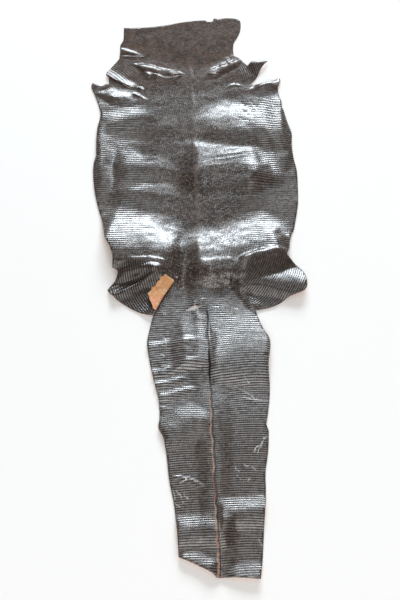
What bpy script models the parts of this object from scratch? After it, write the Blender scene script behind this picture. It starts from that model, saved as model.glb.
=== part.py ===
"""A lizard hide, tanned, cut open along the belly and laid out flat with its grain side up.

The hide is one sheet: neck, back, flanks, four leg flaps and the opened tail. It lies on the plane
z = 0, touches it over most of its underside, and rises from it only in its folds.

Units are metres, +Z is up. +Y runs along the spine towards the head, +X to the right of the hide as
it is seen from above. The origin is at the bottom centre of the hide's box. The tables below are in
millimetres from the tail's end, with x = 0 on the spine, because that is how a hide is measured.
"""

import math
from collections import namedtuple

import bmesh
import bpy
import numpy as np

# Driving dimensions, in metres.
MM = 0.001
THICKNESS = 0.0015
TURN_RADIUS = 0.0021

# How finely the sheet is cut into faces, in metres, and the faces round and along the turned edge.
OUTLINE_STEP = 0.008
COLUMN_PITCH = 0.0125
SNAP = 0.0014
TURN_STEPS = 4
FLAP_STEPS = 3

# Where the cross rows of faces lie, in millimetres. Folded stretches are finer.
Rows = namedtuple("Rows", "stretch start end pitch")
ROWS = (
    Rows("tail end", 0, 120, 10.0),
    Rows("tail, smooth", 120, 236, 11.6),
    Rows("tail, ripples", 236, 346, 6.5),
    Rows("tail root", 346, 402, 9.0),
    Rows("hind legs", 402, 486, 6.5),
    Rows("loin", 486, 610, 11.0),
    Rows("ribs", 610, 780, 11.0),
    Rows("shoulders", 780, 880, 6.7),
    Rows("neck", 880, 970, 12.0),
)

# The outline, counterclockwise, as (stretch, points from corner to corner). A smooth curve runs
# through the points of a stretch, and stretches meet at sharp corners.
BODY_OUTLINE = (
    ("right hind leg", ((71.2, 384.5), (100, 391), (121, 402.8), (144, 411), (149, 419), (149.8, 430),
                        (146.4, 446), (134.4, 462), (124, 474))),
    ("right loin", ((124, 474), (128.5, 484), (131, 499), (136.8, 518))),
    ("right flank", ((139.4, 521), (146.5, 551), (150.5, 572), (153, 603), (154, 634), (150.8, 661),
                     (150.4, 685), (152.4, 704), (147.2, 730), (142.9, 756))),
    ("right side flap", ((140.8, 760), (141.4, 772), (138.4, 788), (138.2, 804), (144, 818))),
    ("right side flap, end", ((144, 818), (142.4, 826.2))),
    ("right armpit", ((142.4, 826.2), (130, 816.6), (112, 811.6), (92, 813))),
    ("right front leg, side", ((92, 813), (104, 827), (113, 845), (125.6, 862.5))),
    ("right front leg, end", ((125.6, 862.5), (110, 857.6), (97.6, 861), (92, 855))),
    ("right shoulder", ((92, 855), (84, 864), (77.6, 872.6), (69.3, 879))),
    ("right neck", ((69.3, 879), (69.2, 894), (71.5, 909), (79, 923), (84.3, 938), (85.8, 951),
                    (84.6, 960), (79, 963.8), (62, 966.6), (47, 964.8), (40.5, 967))),
    ("nick at the head", ((40.5, 967), (36.5, 959.6), (29.5, 959.2), (24, 963.4))),
    ("head edge", ((24, 963.4), (8, 962.4), (-18, 959.4), (-40, 954.6), (-68, 951), (-98, 949.8),
                   (-116.3, 950.7))),
    ("left neck", ((-116.3, 950.7), (-117.6, 922), (-122.4, 911), (-122.9, 896), (-124.8, 879))),
    ("left front leg", ((-124.8, 879), (-143.6, 850), (-143.6, 844))),
    ("slit", "left armpit"),
    ("left side flap, top", ((-141.8, 825), (-147.5, 824.2), (-154, 820.5), (-169.1, 828))),
    ("left side flap", ((-169.1, 828), (-171.2, 821), (-164.8, 801), (-157.6, 775), (-155.3, 760),
                        (-156.4, 750), (-160.2, 727), (-161.6, 690), (-161.2, 674))),
    ("left flank", ((-161.2, 674), (-164.8, 661), (-165.9, 640), (-163.2, 606), (-159.2, 582),
                    (-151, 547), (-145.6, 511), (-138.4, 493), (-134.4, 475), (-135.2, 460.4))),
    ("left hind leg, front", ((-135.2, 460.4), (-127.6, 456), (-129.8, 444), (-137.6, 434.8),
                              (-142.7, 427))),
    ("left hind leg", ((-142.7, 427), (-136, 416.6), (-119, 402.8), (-95, 387.6), (-79, 382))),
    ("slit", "left hind leg"),
)
TAIL_OUTLINE = (
    ("tail, left", ((-76.9, 381.1), (-84, 352), (-86.2, 338), (-84.8, 323), (-81.6, 300), (-75.4, 268),
                    (-71.6, 250), (-70.8, 222), (-72.6, 208), (-66.4, 194), (-62.6, 165),
                    (-60, 133), (-55.2, 104), (-51.6, 60), (-50.7, 32))),
    ("tail end, torn corner", ((-50.7, 32), (-28, 20.8), (-9, 9.6), (-4, 4.5))),
    ("tail end", ((-4, 4.5), (20, 3.6), (50.6, 0))),
    ("tail, lower right", ((50.6, 0), (55, 26), (60.8, 74), (65.6, 112), (67.4, 140), (73.2, 170),
                           (76.4, 200))),
    ("tail, upper right", ((73.4, 208), (75.8, 218), (82, 255), (82.8, 296), (87.8, 326),
                           (86.6, 338), (80.4, 351), (71.2, 384.5))),
)
HOLE_UPPER = ((-30, 390.6), (-21, 394.4), (-15.4, 397.4), (-12.6, 394.9), (-4.4, 394.2))
HOLE_LOWER = ((-4.4, 394.2), (-9.6, 390.4), (-15.6, 388.0), (-23, 388.4), (-30, 390.6))

# Slits in the hide. The lip on the right of the walk from the inner end to the mouth is lifted over
# the other one, by a lift that fades out over its reach, and is moved across by the overlap. It is
# fully lifted, and moved fully across, from these shares of the slit's length on. Past its mouth the
# lift fades out between two more shares.
LIFTED_BY = 0.2
ACROSS_BY = 1.0
PAST_MOUTH_FADE = 0.6
PAST_MOUTH_END = 1.9
Lap = namedtuple("Lap", "inner mouth bow gap lift reach overlap")
LAPS = {
    "left armpit": Lap((-97, 806), (-143.6, 844), 0.0, 2.2, 2.4, 15.0, 4.2),
    "left hind leg": Lap((-40, 444), (-77.4, 381.4), -3.0, 1.0, 3.2, 24.0, 0.0),
}

# The upper lip of the hind leg's slit is turned back over the leg, flesh side up, by these widths
# at these shares of the way from the inner end to the mouth.
TURNED_LAP = "left hind leg"
TURNED_SHARES = (0.1, 0.18, 0.34, 0.48, 0.66, 0.78, 0.88)
TURNED_WIDTHS = (8.0, 13.5, 15.6, 19.0, 19.5, 9.0, 3.0)
# How near the lip's line its edges lie, as a share of the slit's gap.
LIP_TOLERANCE = 0.3

# A fold narrows to one of these shares of its width where it fades out: a swell stays broad, and a
# pleat ends in a point.
BLUNT = 0.65
TAPERED = 0.4
POINTED = 0.25

# Folds. Each has a crest from its start to its end, which bows to the left of that walk, falls away
# over a run on its left and one on its right, and fades in and out at its ends. Those that cross the
# hide go from left to right, so their left-hand side is towards the head.
Fold = namedtuple("Fold", "name start end bow height left_run right_run fade ends", defaults=(BLUNT,))
FOLDS = (
    Fold("neck edge, upper pucker", (-136, 906), (-76, 884), 0, 1.2, 7, 11, 30, TAPERED),
    Fold("left neck pleat", (-108, 868), (-12, 839), -5.0, 3.3, 12, 9, 30, POINTED),
    Fold("left neck pleat, lower lip", (-92, 849), (-42, 829), 0, 2.2, 7, 16, 20, POINTED),
    Fold("right neck fold", (14, 830), (84, 869), -2.0, 3.6, 15, 10, 26, TAPERED),
    Fold("right front leg", (88, 852), (132, 868), 0, 5.0, 12, 34, 16),
    Fold("right side flap, curled edge", (92, 799), (154, 822), -3.0, 5.6, 13, 26, 30),
    Fold("left armpit swell", (-170, 806), (-72, 784), -3.0, 3.0, 26, 18, 40, POINTED),
    Fold("left shoulder swell", (-176, 716), (-56, 756), 10.0, 3.0, 30, 22, 52),
    Fold("right shoulder swell", (-24, 727), (172, 690), 9.0, 6.8, 64, 42, 66),
    Fold("left rib fold, upper", (-142, 644), (-30, 638), 2.0, 2.7, 34, 26, 40),
    Fold("left rib fold, lower", (-128, 599), (-22, 578), 0, 2.7, 38, 26, 44),
    Fold("right rib swell, inner", (-36, 621), (122, 632), 0, 11.6, 106, 46, 46),
    Fold("right rib swell, outer", (50, 630), (146, 624), 0, 2.6, 34, 30, 40),
    Fold("right flank roll", (133, 798), (137, 626), 0, 3.6, 16, 25, 34),
    Fold("left flank roll", (-152, 744), (-152, 590), 0, 3.0, 18, 22, 40),
    Fold("left flank, inner roll", (-112, 706), (-123, 556), 0, 2.6, 34, 22, 50),
    Fold("left hip swell", (-196, 494), (-22, 442), 4.0, 17.6, 104, 38, 50),
    Fold("right hip swell", (-36, 442), (150, 488), -4.0, 14.6, 90, 34, 44),
    Fold("hip crease", (-60, 458), (56, 464), 0, 1.2, 12, 20, 24, POINTED),
    Fold("left hind leg, first fold", (-142, 440), (-54, 450), 5.0, 4.2, 12, 9, 20),
    Fold("left hind leg, second fold", (-152, 417), (-54, 451), -4.0, 4.8, 14, 19, 20),
    Fold("right hind leg, bulge", (46, 456), (134, 482), 7.0, 3.0, 9, 12, 24),
    Fold("right hind leg, lower fold", (30, 436), (168, 404), 3.0, 9.5, 44, 22, 30),
    Fold("right hind leg over the tail", (72, 380), (46, 428), 0, 3.4, 7, 15, 12),
    Fold("tail, spine ridge", (0, 470), (0, -20), 0, 2.8, 27, 27, 40),
    Fold("tail, upper right swell", (-10, 306), (104, 300), 0, 10.6, 84, 50, 28),
    Fold("tail, upper left swell", (-56, 308), (12, 310), 0, 7.0, 84, 22, 26),
    Fold("tail, middle left swell", (-84, 188), (2, 222), 0, 4.6, 34, 26, 24),
    Fold("tail ripple, first", (-106, 329), (-8, 340), 0, 2.2, 9, 9, 22, TAPERED),
    Fold("tail ripple, second", (-104, 282), (0, 304), 2.0, 3.0, 11, 9, 26, TAPERED),
    Fold("tail ripple, third", (-104, 268), (-24, 281), 0, 2.4, 8, 8, 20, TAPERED),
    Fold("tail ripple, fourth", (-102, 253), (-14, 263), 0, 2.4, 8, 9, 24, TAPERED),
    Fold("tail wave, left", (-70, 56), (28, 61), 0, 6.2, 31, 22, 22),
    Fold("tail wave, right", (-6, 80), (84, 84), 0, 6.2, 31, 24, 22),
    Fold("tail, lifted left corner", (-64, 30), (0, 3), 0, 5.4, 25, 12, 16),
    Fold("tail, lifted right corner", (2, -6), (70, -8), 0, 6.8, 34, 12, 20),
)

# Leather: colour, roughness and metallic value.
GLAZED_BROWN = (0.055, 0.042, 0.036, 1.0)
GLAZED_ROUGHNESS = 0.38
LEATHER_METALLIC = 0.0


def clear_scene():
    """Remove what the scene holds."""
    for obj in list(bpy.data.objects):
        bpy.data.objects.remove(obj, do_unlink=True)


def smooth_step(values):
    """Rise from 0 to 1 with level ends, as the values go from 0 to 1."""
    clipped = np.clip(values, 0.0, 1.0)
    return clipped * clipped * (3.0 - 2.0 * clipped)


def along_and_across(x, y, start, end, bow):
    """Share of the way from start to end, and distance to the left of the bowed line between them."""
    run_x = end[0] - start[0]
    run_y = end[1] - start[1]
    length = math.hypot(run_x, run_y)
    share = ((x - start[0]) * run_x + (y - start[1]) * run_y) / length**2
    across = ((y - start[1]) * run_x - (x - start[0]) * run_y) / length
    inside = np.clip(share, 0.0, 1.0)
    return share, across - 4.0 * bow * inside * (1.0 - inside)


def left_of(start, end):
    """The unit vector to the left of the walk from start to end."""
    length = math.dist(start, end)
    return np.array(((start[1] - end[1]) / length, (end[0] - start[0]) / length))


def fold_height(x, y, fold):
    """Height that one fold adds, in millimetres."""
    share, across = along_and_across(x, y, fold.start, fold.end, fold.bow)
    length = math.dist(fold.start, fold.end)
    ends = smooth_step(share * length / fold.fade) * smooth_step((1.0 - share) * length / fold.fade)
    run = np.where(across > 0.0, fold.left_run, fold.right_run) * (fold.ends + (1.0 - fold.ends) * ends)
    return fold.height * ends * np.clip(1.0 - (across / run) ** 2, 0.0, 1.0) ** 2


def lap_share(x, y, lap, opens_by):
    """How far a point goes with a slit's upper lip, which is free from a share of its length on."""
    share, across = along_and_across(x, y, lap.inner, lap.mouth, lap.bow)
    near_lip = smooth_step(1.0 + across / lap.reach) * (across < 0.0)
    opening = smooth_step(share / opens_by)
    past_mouth = smooth_step((PAST_MOUTH_END - share) / PAST_MOUTH_FADE)
    return near_lip * opening * past_mouth


def surface(x, y):
    """Where points of the flat cut, in millimetres, come to lie in the folded hide."""
    height = sum(fold_height(x, y, fold) for fold in FOLDS)
    for lap in LAPS.values():
        height = height + lap.lift * lap_share(x, y, lap, LIFTED_BY)
        moved = lap.overlap * lap_share(x, y, lap, ACROSS_BY)
        over = left_of(lap.inner, lap.mouth)
        x = x + moved * over[0]
        y = y + moved * over[1]
    return np.stack((x, y, height), axis=-1)


def curve_through(knots, step):
    """Points about a step apart on a smooth curve through the knots, without the last one."""
    knots = np.array(knots, dtype=float)
    knots = np.vstack((2 * knots[0] - knots[1], knots, 2 * knots[-1] - knots[-2]))
    found = []
    for before, start, end, after in zip(knots, knots[1:], knots[2:], knots[3:]):
        # Spacing by the root of each length keeps the curve from looping where knots are uneven.
        gaps = [math.dist(*pair) ** 0.5 for pair in ((before, start), (start, end), (end, after))]
        slope = (end - start) / gaps[1]
        leave = slope - (end - before) / (gaps[0] + gaps[1]) + (start - before) / gaps[0]
        arrive = slope - (after - start) / (gaps[1] + gaps[2]) + (after - end) / gaps[2]
        count = max(1, round(math.dist(start, end) / step))
        for index in range(count):
            t = index / count
            found.append(
                start * (2 * t**3 - 3 * t**2 + 1)
                + end * (3 * t**2 - 2 * t**3)
                + leave * gaps[1] * (t**3 - 2 * t**2 + t)
                + arrive * gaps[1] * (t**3 - t**2)
            )
    return found


def lip_point(lap, share, side):
    """A point of a slit's lip, on the left of the walk to the mouth where side is 1, else on its right."""
    across = 4.0 * lap.bow * share * (1.0 - share)
    across += 0.5 * side * lap.gap * min(1.0, 3.0 * share)
    straight = np.array(lap.inner) * (1.0 - share) + np.array(lap.mouth) * share
    return straight + left_of(lap.inner, lap.mouth) * across


def lap_outline(lap, step):
    """The slit's outline: in along the upper lip from the mouth, and out along the lower one."""
    count = round(math.dist(lap.inner, lap.mouth) / step)
    upper = [lip_point(lap, index / count, -1) for index in range(count, 0, -1)]
    lower = [lip_point(lap, index / count, 1) for index in range(count)]
    return upper + lower


def outline_points(stretches, step):
    """The corners and curve points of an outline, in millimetres."""
    points = []
    for name, shape in stretches:
        points += lap_outline(LAPS[shape], step) if name == "slit" else curve_through(shape, step)
    return points


def grid_places(low, high, pitch):
    """Evenly spaced places between two bounds, about a pitch apart, without the upper bound."""
    count = max(1, round((high - low) / pitch))
    return [low + (high - low) * index / count for index in range(count)]


def cut_across(bm, place, axis):
    """Cut every face of the sheet along a line at a place on an axis."""
    point = [0.0, 0.0, 0.0]
    normal = [0.0, 0.0, 0.0]
    point[axis] = place
    normal[axis] = 1.0
    bmesh.ops.bisect_plane(
        bm,
        geom=bm.verts[:] + bm.edges[:] + bm.faces[:],
        dist=SNAP / MM,
        plane_co=point,
        plane_no=normal,
    )


def flat_sheet(body, tail):
    """The hide's flat cut, in millimetres, as a mesh of small faces with the hole left out."""
    bm = bmesh.new()
    # The body and the tail meet along a line through the hole, so that each is a plain outline.
    for loop in (body + [tail[0], *HOLE_UPPER], tail + [body[0], *HOLE_LOWER]):
        bm.faces.new([bm.verts.new((x, y, 0.0)) for x, y in loop])
    bmesh.ops.remove_doubles(bm, verts=bm.verts[:], dist=0.001)
    for rows in ROWS:
        for place in grid_places(rows.start, rows.end, rows.pitch):
            cut_across(bm, place, 1)
    sideways = [x for x, _ in body]
    for place in grid_places(min(sideways), max(sideways), COLUMN_PITCH / MM):
        cut_across(bm, place, 0)
    bmesh.ops.triangulate(bm, faces=bm.faces[:], quad_method="BEAUTY", ngon_method="BEAUTY")
    return bm


def turned_edges(bm, lap):
    """The sheet's open edges along the part of a slit's upper lip that is turned back."""
    half_a_step = 0.5 * OUTLINE_STEP / MM / math.dist(lap.inner, lap.mouth)
    chosen = []
    for edge in bm.edges:
        ends = np.array([vert.co[:2] for vert in edge.verts])
        share, across = along_and_across(ends[:, 0], ends[:, 1], lap.inner, lap.mouth, lap.bow)
        on_lip = np.all(np.abs(across + 0.5 * lap.gap) < LIP_TOLERANCE * lap.gap)
        turned = np.all((share > TURNED_SHARES[0] - half_a_step) & (share < TURNED_SHARES[-1] + half_a_step))
        if edge.is_boundary and on_lip and turned:
            chosen.append(edge)
    return chosen


def turn_lip_back(bm, lap):
    """Extrude a slit's upper lip round and back over the leg.

    Returns, for each new vertex, the flat point whose height it takes, where it lies and its rise.
    """
    radius = TURN_RADIUS / MM
    over = left_of(lap.inner, lap.mouth)
    edges = turned_edges(bm, lap)
    feet = {vert: np.array(vert.co[:2]) for edge in edges for vert in edge.verts}
    places = {}
    for step in range(1, TURN_STEPS + FLAP_STEPS + 1):
        angle = math.pi * min(step / TURN_STEPS, 1.0)
        back = max(step - TURN_STEPS, 0) / FLAP_STEPS
        made = bmesh.ops.extrude_edge_only(bm, edges=edges)["geom"]
        edges = [item for item in made if isinstance(item, bmesh.types.BMEdge)]
        ring = {}
        for vert in {vert for edge in edges for vert in edge.verts}:
            foot = min(feet.values(), key=lambda place: math.dist(place, vert.co[:2]))
            share, _ = along_and_across(foot[0], foot[1], lap.inner, lap.mouth, lap.bow)
            width = np.interp(share, TURNED_SHARES, TURNED_WIDTHS)
            plan = foot + over * (radius * math.sin(angle) - width * back)
            places[vert] = (foot if back == 0 else plan, plan, radius * (1.0 - math.cos(angle)))
            ring[vert] = foot
        feet = ring
    return places


def fold_sheet(bm, turned, centre):
    """Move the flat cut's points to where they lie in the folded hide, in metres."""
    for vert in bm.verts:
        look_at, plan, rise = turned.get(vert, (np.array(vert.co[:2]), None, 0.0))
        place = surface(look_at[0], look_at[1])
        if plan is not None:
            place[:2] = plan
        place[:2] -= centre
        place[2] += rise
        vert.co = [*(place * MM)]
        vert.co.z += 0.5 * THICKNESS


def leather(name, colour, roughness, metallic):
    """A Principled material."""
    material = bpy.data.materials.new(name)
    material.use_nodes = True
    shader = material.node_tree.nodes["Principled BSDF"]
    shader.inputs["Base Color"].default_value = colour
    shader.inputs["Roughness"].default_value = roughness
    shader.inputs["Metallic"].default_value = metallic
    return material


def make_hide():
    """The hide, one sheet of leather."""
    step = OUTLINE_STEP / MM
    body = outline_points(BODY_OUTLINE, step)
    tail = outline_points(TAIL_OUTLINE, step)
    outline = np.array(body + tail)
    centre = 0.5 * (outline.min(axis=0) + outline.max(axis=0))

    bm = flat_sheet(body, tail)
    turned = turn_lip_back(bm, LAPS[TURNED_LAP])
    fold_sheet(bm, turned, centre)
    mesh = bpy.data.meshes.new("hide")
    bm.to_mesh(mesh)
    bm.free()
    mesh.shade_smooth()

    hide = bpy.data.objects.new("hide", mesh)
    bpy.context.scene.collection.objects.link(hide)
    hide.data.materials.append(leather("glazed_leather", GLAZED_BROWN, GLAZED_ROUGHNESS, LEATHER_METALLIC))
    thickness = hide.modifiers.new("Thickness", "SOLIDIFY")
    thickness.thickness = THICKNESS
    thickness.offset = 0.0
    return hide


clear_scene()
make_hide()
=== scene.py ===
"""A lizard hide, tanned and glazed, cut open along the belly and laid out with its grain side up.

The hide is one sheet of leather: neck, back, flanks, four leg flaps and the opened tail. The sheet is
cut flat from its outline, folded by the tables below, and given its thickness, its rows of scales and
its three surfaces: the glazed grain side, the flesh side and the cut edge.

Tables are in millimetres from the tail's end, with x = 0 on the spine, because that is how a hide is
measured. The finished hide is in metres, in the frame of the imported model.
"""

import math
from collections import namedtuple

import bmesh
import bpy
import numpy as np
from bpy.props import FloatProperty, FloatVectorProperty, PointerProperty
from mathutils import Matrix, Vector, kdtree, noise


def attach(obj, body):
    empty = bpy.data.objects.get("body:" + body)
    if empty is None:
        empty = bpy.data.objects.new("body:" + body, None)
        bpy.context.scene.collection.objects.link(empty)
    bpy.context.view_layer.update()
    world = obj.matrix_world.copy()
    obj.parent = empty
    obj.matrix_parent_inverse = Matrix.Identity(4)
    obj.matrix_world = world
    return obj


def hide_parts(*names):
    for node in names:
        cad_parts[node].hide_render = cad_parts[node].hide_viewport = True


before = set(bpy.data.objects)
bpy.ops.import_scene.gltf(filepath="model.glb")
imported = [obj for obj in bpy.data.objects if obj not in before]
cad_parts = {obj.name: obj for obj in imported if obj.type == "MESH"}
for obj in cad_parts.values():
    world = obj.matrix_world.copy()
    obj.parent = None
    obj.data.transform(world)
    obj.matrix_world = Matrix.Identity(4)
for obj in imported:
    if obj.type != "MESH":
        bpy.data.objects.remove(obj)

bl_info = {
    "name": "Laid-out lizard hide",
    "version": (1, 0, 0),
    "blender": (4, 5, 0),
    "location": "3D View > Sidebar > Hide",
    "description": "Makes a glazed lizard hide laid out flat, with its folds and scales, and a stage",
    "category": "Object",
}

NODE = "hide"
MM = 0.001

# A change from one value to another over a stretch: where it starts and ends, mostly in millimetres
# from the tail's end, and the values before and after it. Some stretches are walked backwards.
Stretch = namedtuple("Stretch", "start end before after", defaults=(0.0, 1.0))

# The leather's material slots.
GRAIN = 0
FLESH = 1
CUT_EDGE = 2

# How finely the sheet is cut: steps along the outline, and how near a cut snaps to a point, in mm.
OUTLINE_STEP = 2.0
SNAP = 0.12

# Bands of the hide. Each holds whole scale rows of about a pitch, and its columns of faces lie about
# a column pitch apart. Bands with pleats are finer.
Band = namedtuple("Band", "name start end pitch column_pitch")
BANDS = (
    Band("tail end", -2, 120, 3.2, 3.4),
    Band("tail", 120, 270, 3.2, 3.6),
    Band("tail root", 270, 400, 3.6, 3.4),
    Band("hind legs", 400, 486, 3.2, 2.8),
    Band("back", 486, 780, 4.0, 3.8),
    Band("shoulders", 780, 880, 2.7, 2.1),
    Band("neck", 880, 970, 3.3, 3.4),
)

# The outline, counterclockwise, as (stretch, points from corner to corner). A smooth curve runs
# through the points of a stretch, and stretches meet at sharp corners.
BODY_OUTLINE = (
    ("right hind leg", ((71.2, 384.5), (100, 391), (121, 402.8), (144, 411), (149, 419), (149.8, 430),
                        (146.4, 446), (134.4, 462), (124, 474))),
    ("right loin", ((124, 474), (128.5, 484), (131, 499), (136.8, 518))),
    ("right flank", ((139.4, 521), (146.5, 551), (150.5, 572), (153, 603), (154, 634), (150.8, 661),
                     (150.4, 685), (152.4, 704), (147.2, 730), (142.9, 756))),
    ("right side flap", ((140.8, 760), (141.4, 772), (138.4, 788), (138.2, 804), (144, 818))),
    ("right side flap, end", ((144, 818), (142.4, 826.2))),
    ("right armpit", ((142.4, 826.2), (130, 816.6), (112, 811.6), (92, 813))),
    ("right front leg, side", ((92, 813), (104, 827), (113, 845), (125.6, 862.5))),
    ("right front leg, end", ((125.6, 862.5), (110, 857.6), (97.6, 861), (92, 855))),
    ("right shoulder", ((92, 855), (84, 864), (77.6, 872.6), (69.3, 879))),
    ("right neck", ((69.3, 879), (69.2, 894), (71.5, 909), (79, 923), (84.3, 938), (85.8, 951),
                    (84.6, 960), (79, 963.8), (62, 966.6), (47, 964.8), (40.5, 967))),
    ("nick at the head", ((40.5, 967), (36.5, 959.6), (29.5, 959.2), (24, 963.4))),
    ("head edge", ((24, 963.4), (8, 962.4), (-18, 959.4), (-40, 954.6), (-68, 951), (-98, 949.8),
                   (-116.3, 950.7))),
    ("left neck", ((-116.3, 950.7), (-117.6, 922), (-122.4, 911), (-122.9, 896), (-124.8, 879))),
    ("left front leg", ((-124.8, 879), (-143.6, 850), (-143.6, 844))),
    ("slit", "left armpit"),
    ("left side flap, top", ((-141.8, 825), (-147.5, 824.2), (-154, 820.5), (-169.1, 828))),
    ("left side flap", ((-169.1, 828), (-171.2, 821), (-164.8, 801), (-157.6, 775), (-155.3, 760),
                        (-156.4, 750), (-160.2, 727), (-161.6, 690), (-161.2, 674))),
    ("left flank", ((-161.2, 674), (-164.8, 661), (-165.9, 640), (-163.2, 606), (-159.2, 582),
                    (-151, 547), (-145.6, 511), (-138.4, 493), (-134.4, 475), (-135.2, 460.4))),
    ("left hind leg, front", ((-135.2, 460.4), (-127.6, 456), (-129.8, 444), (-137.6, 434.8),
                              (-142.7, 427))),
    ("left hind leg", ((-142.7, 427), (-136, 416.6), (-119, 402.8), (-95, 387.6), (-79, 382))),
    ("slit", "left hind leg"),
)
TAIL_OUTLINE = (
    ("tail, left", ((-76.9, 381.1), (-84, 352), (-86.2, 338), (-84.8, 323), (-81.6, 300), (-75.4, 268),
                    (-71.6, 250), (-70.8, 222), (-72.6, 208), (-66.4, 194), (-62.6, 165),
                    (-60, 133), (-55.2, 104), (-51.6, 60), (-50.7, 32))),
    ("tail end, torn corner", ((-50.7, 32), (-28, 20.8), (-9, 9.6), (-4, 4.5))),
    ("tail end", ((-4, 4.5), (20, 3.6), (50.6, 0))),
    ("tail, lower right", ((50.6, 0), (55, 26), (60.8, 74), (65.6, 112), (67.4, 140), (73.2, 170),
                           (76.4, 200))),
    ("tail, upper right", ((73.4, 208), (75.8, 218), (82, 255), (82.8, 296), (87.8, 326),
                           (86.6, 338), (80.4, 351), (71.2, 384.5))),
)
HOLE_UPPER = ((-30, 390.6), (-21, 394.4), (-15.4, 397.4), (-12.6, 394.9), (-4.4, 394.2))
HOLE_LOWER = ((-4.4, 394.2), (-9.6, 390.4), (-15.6, 388.0), (-23, 388.4), (-30, 390.6))

# Slits in the hide. The lip on the right of the walk from the inner end to the mouth is lifted over
# the other one, by a lift that fades out over its reach, and is moved across by the overlap. It is
# fully lifted, and moved fully across, from these shares of the slit's length on. Past its mouth the
# lift fades out between two more shares.
LIFTED_BY = 0.2
ACROSS_BY = 1.0
PAST_MOUTH_FADE = 0.6
PAST_MOUTH_END = 1.9
Lap = namedtuple("Lap", "inner mouth bow gap lift reach overlap")
LAPS = {
    "left armpit": Lap((-97, 806), (-143.6, 844), 0.0, 2.2, 2.4, 15.0, 4.2),
    "left hind leg": Lap((-40, 444), (-77.4, 381.4), -3.0, 1.0, 3.2, 24.0, 0.0),
}

# The upper lip of the hind leg's slit is turned back over the leg, flesh side up, by these widths
# at these shares of the way from the inner end to the mouth.
TURNED_LAP = "left hind leg"
TURNED_SHARES = (0.1, 0.18, 0.34, 0.48, 0.66, 0.78, 0.88)
TURNED_WIDTHS = (8.0, 13.5, 15.6, 19.0, 19.5, 9.0, 3.0)
TURN_STEPS = 6
FLAP_STEPS = 8
# How near the lip's line its edges lie, as a share of the slit's gap.
LIP_TOLERANCE = 0.3
# The flap's end is ragged, and curls and ruffles off the leg: by how much, in millimetres, and how
# many times a millimetre the raggedness and the ruffle change.
FLAP_RAGGED = 4.5
FLAP_CURL = 0.8
FLAP_RUFFLE = 0.9
RAGGED_FINENESS = 0.21
RUFFLE_FINENESS = 0.17

# A fold narrows to one of these shares of its width where it fades out: a swell stays broad, and a
# pleat ends in a point.
BLUNT = 0.65
TAPERED = 0.4
POINTED = 0.25
# A pointed fold's height varies along it by up to this share, over this length in millimetres.
PLEAT_UNEVEN = 0.4
PLEAT_LENGTH = 19.0

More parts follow.
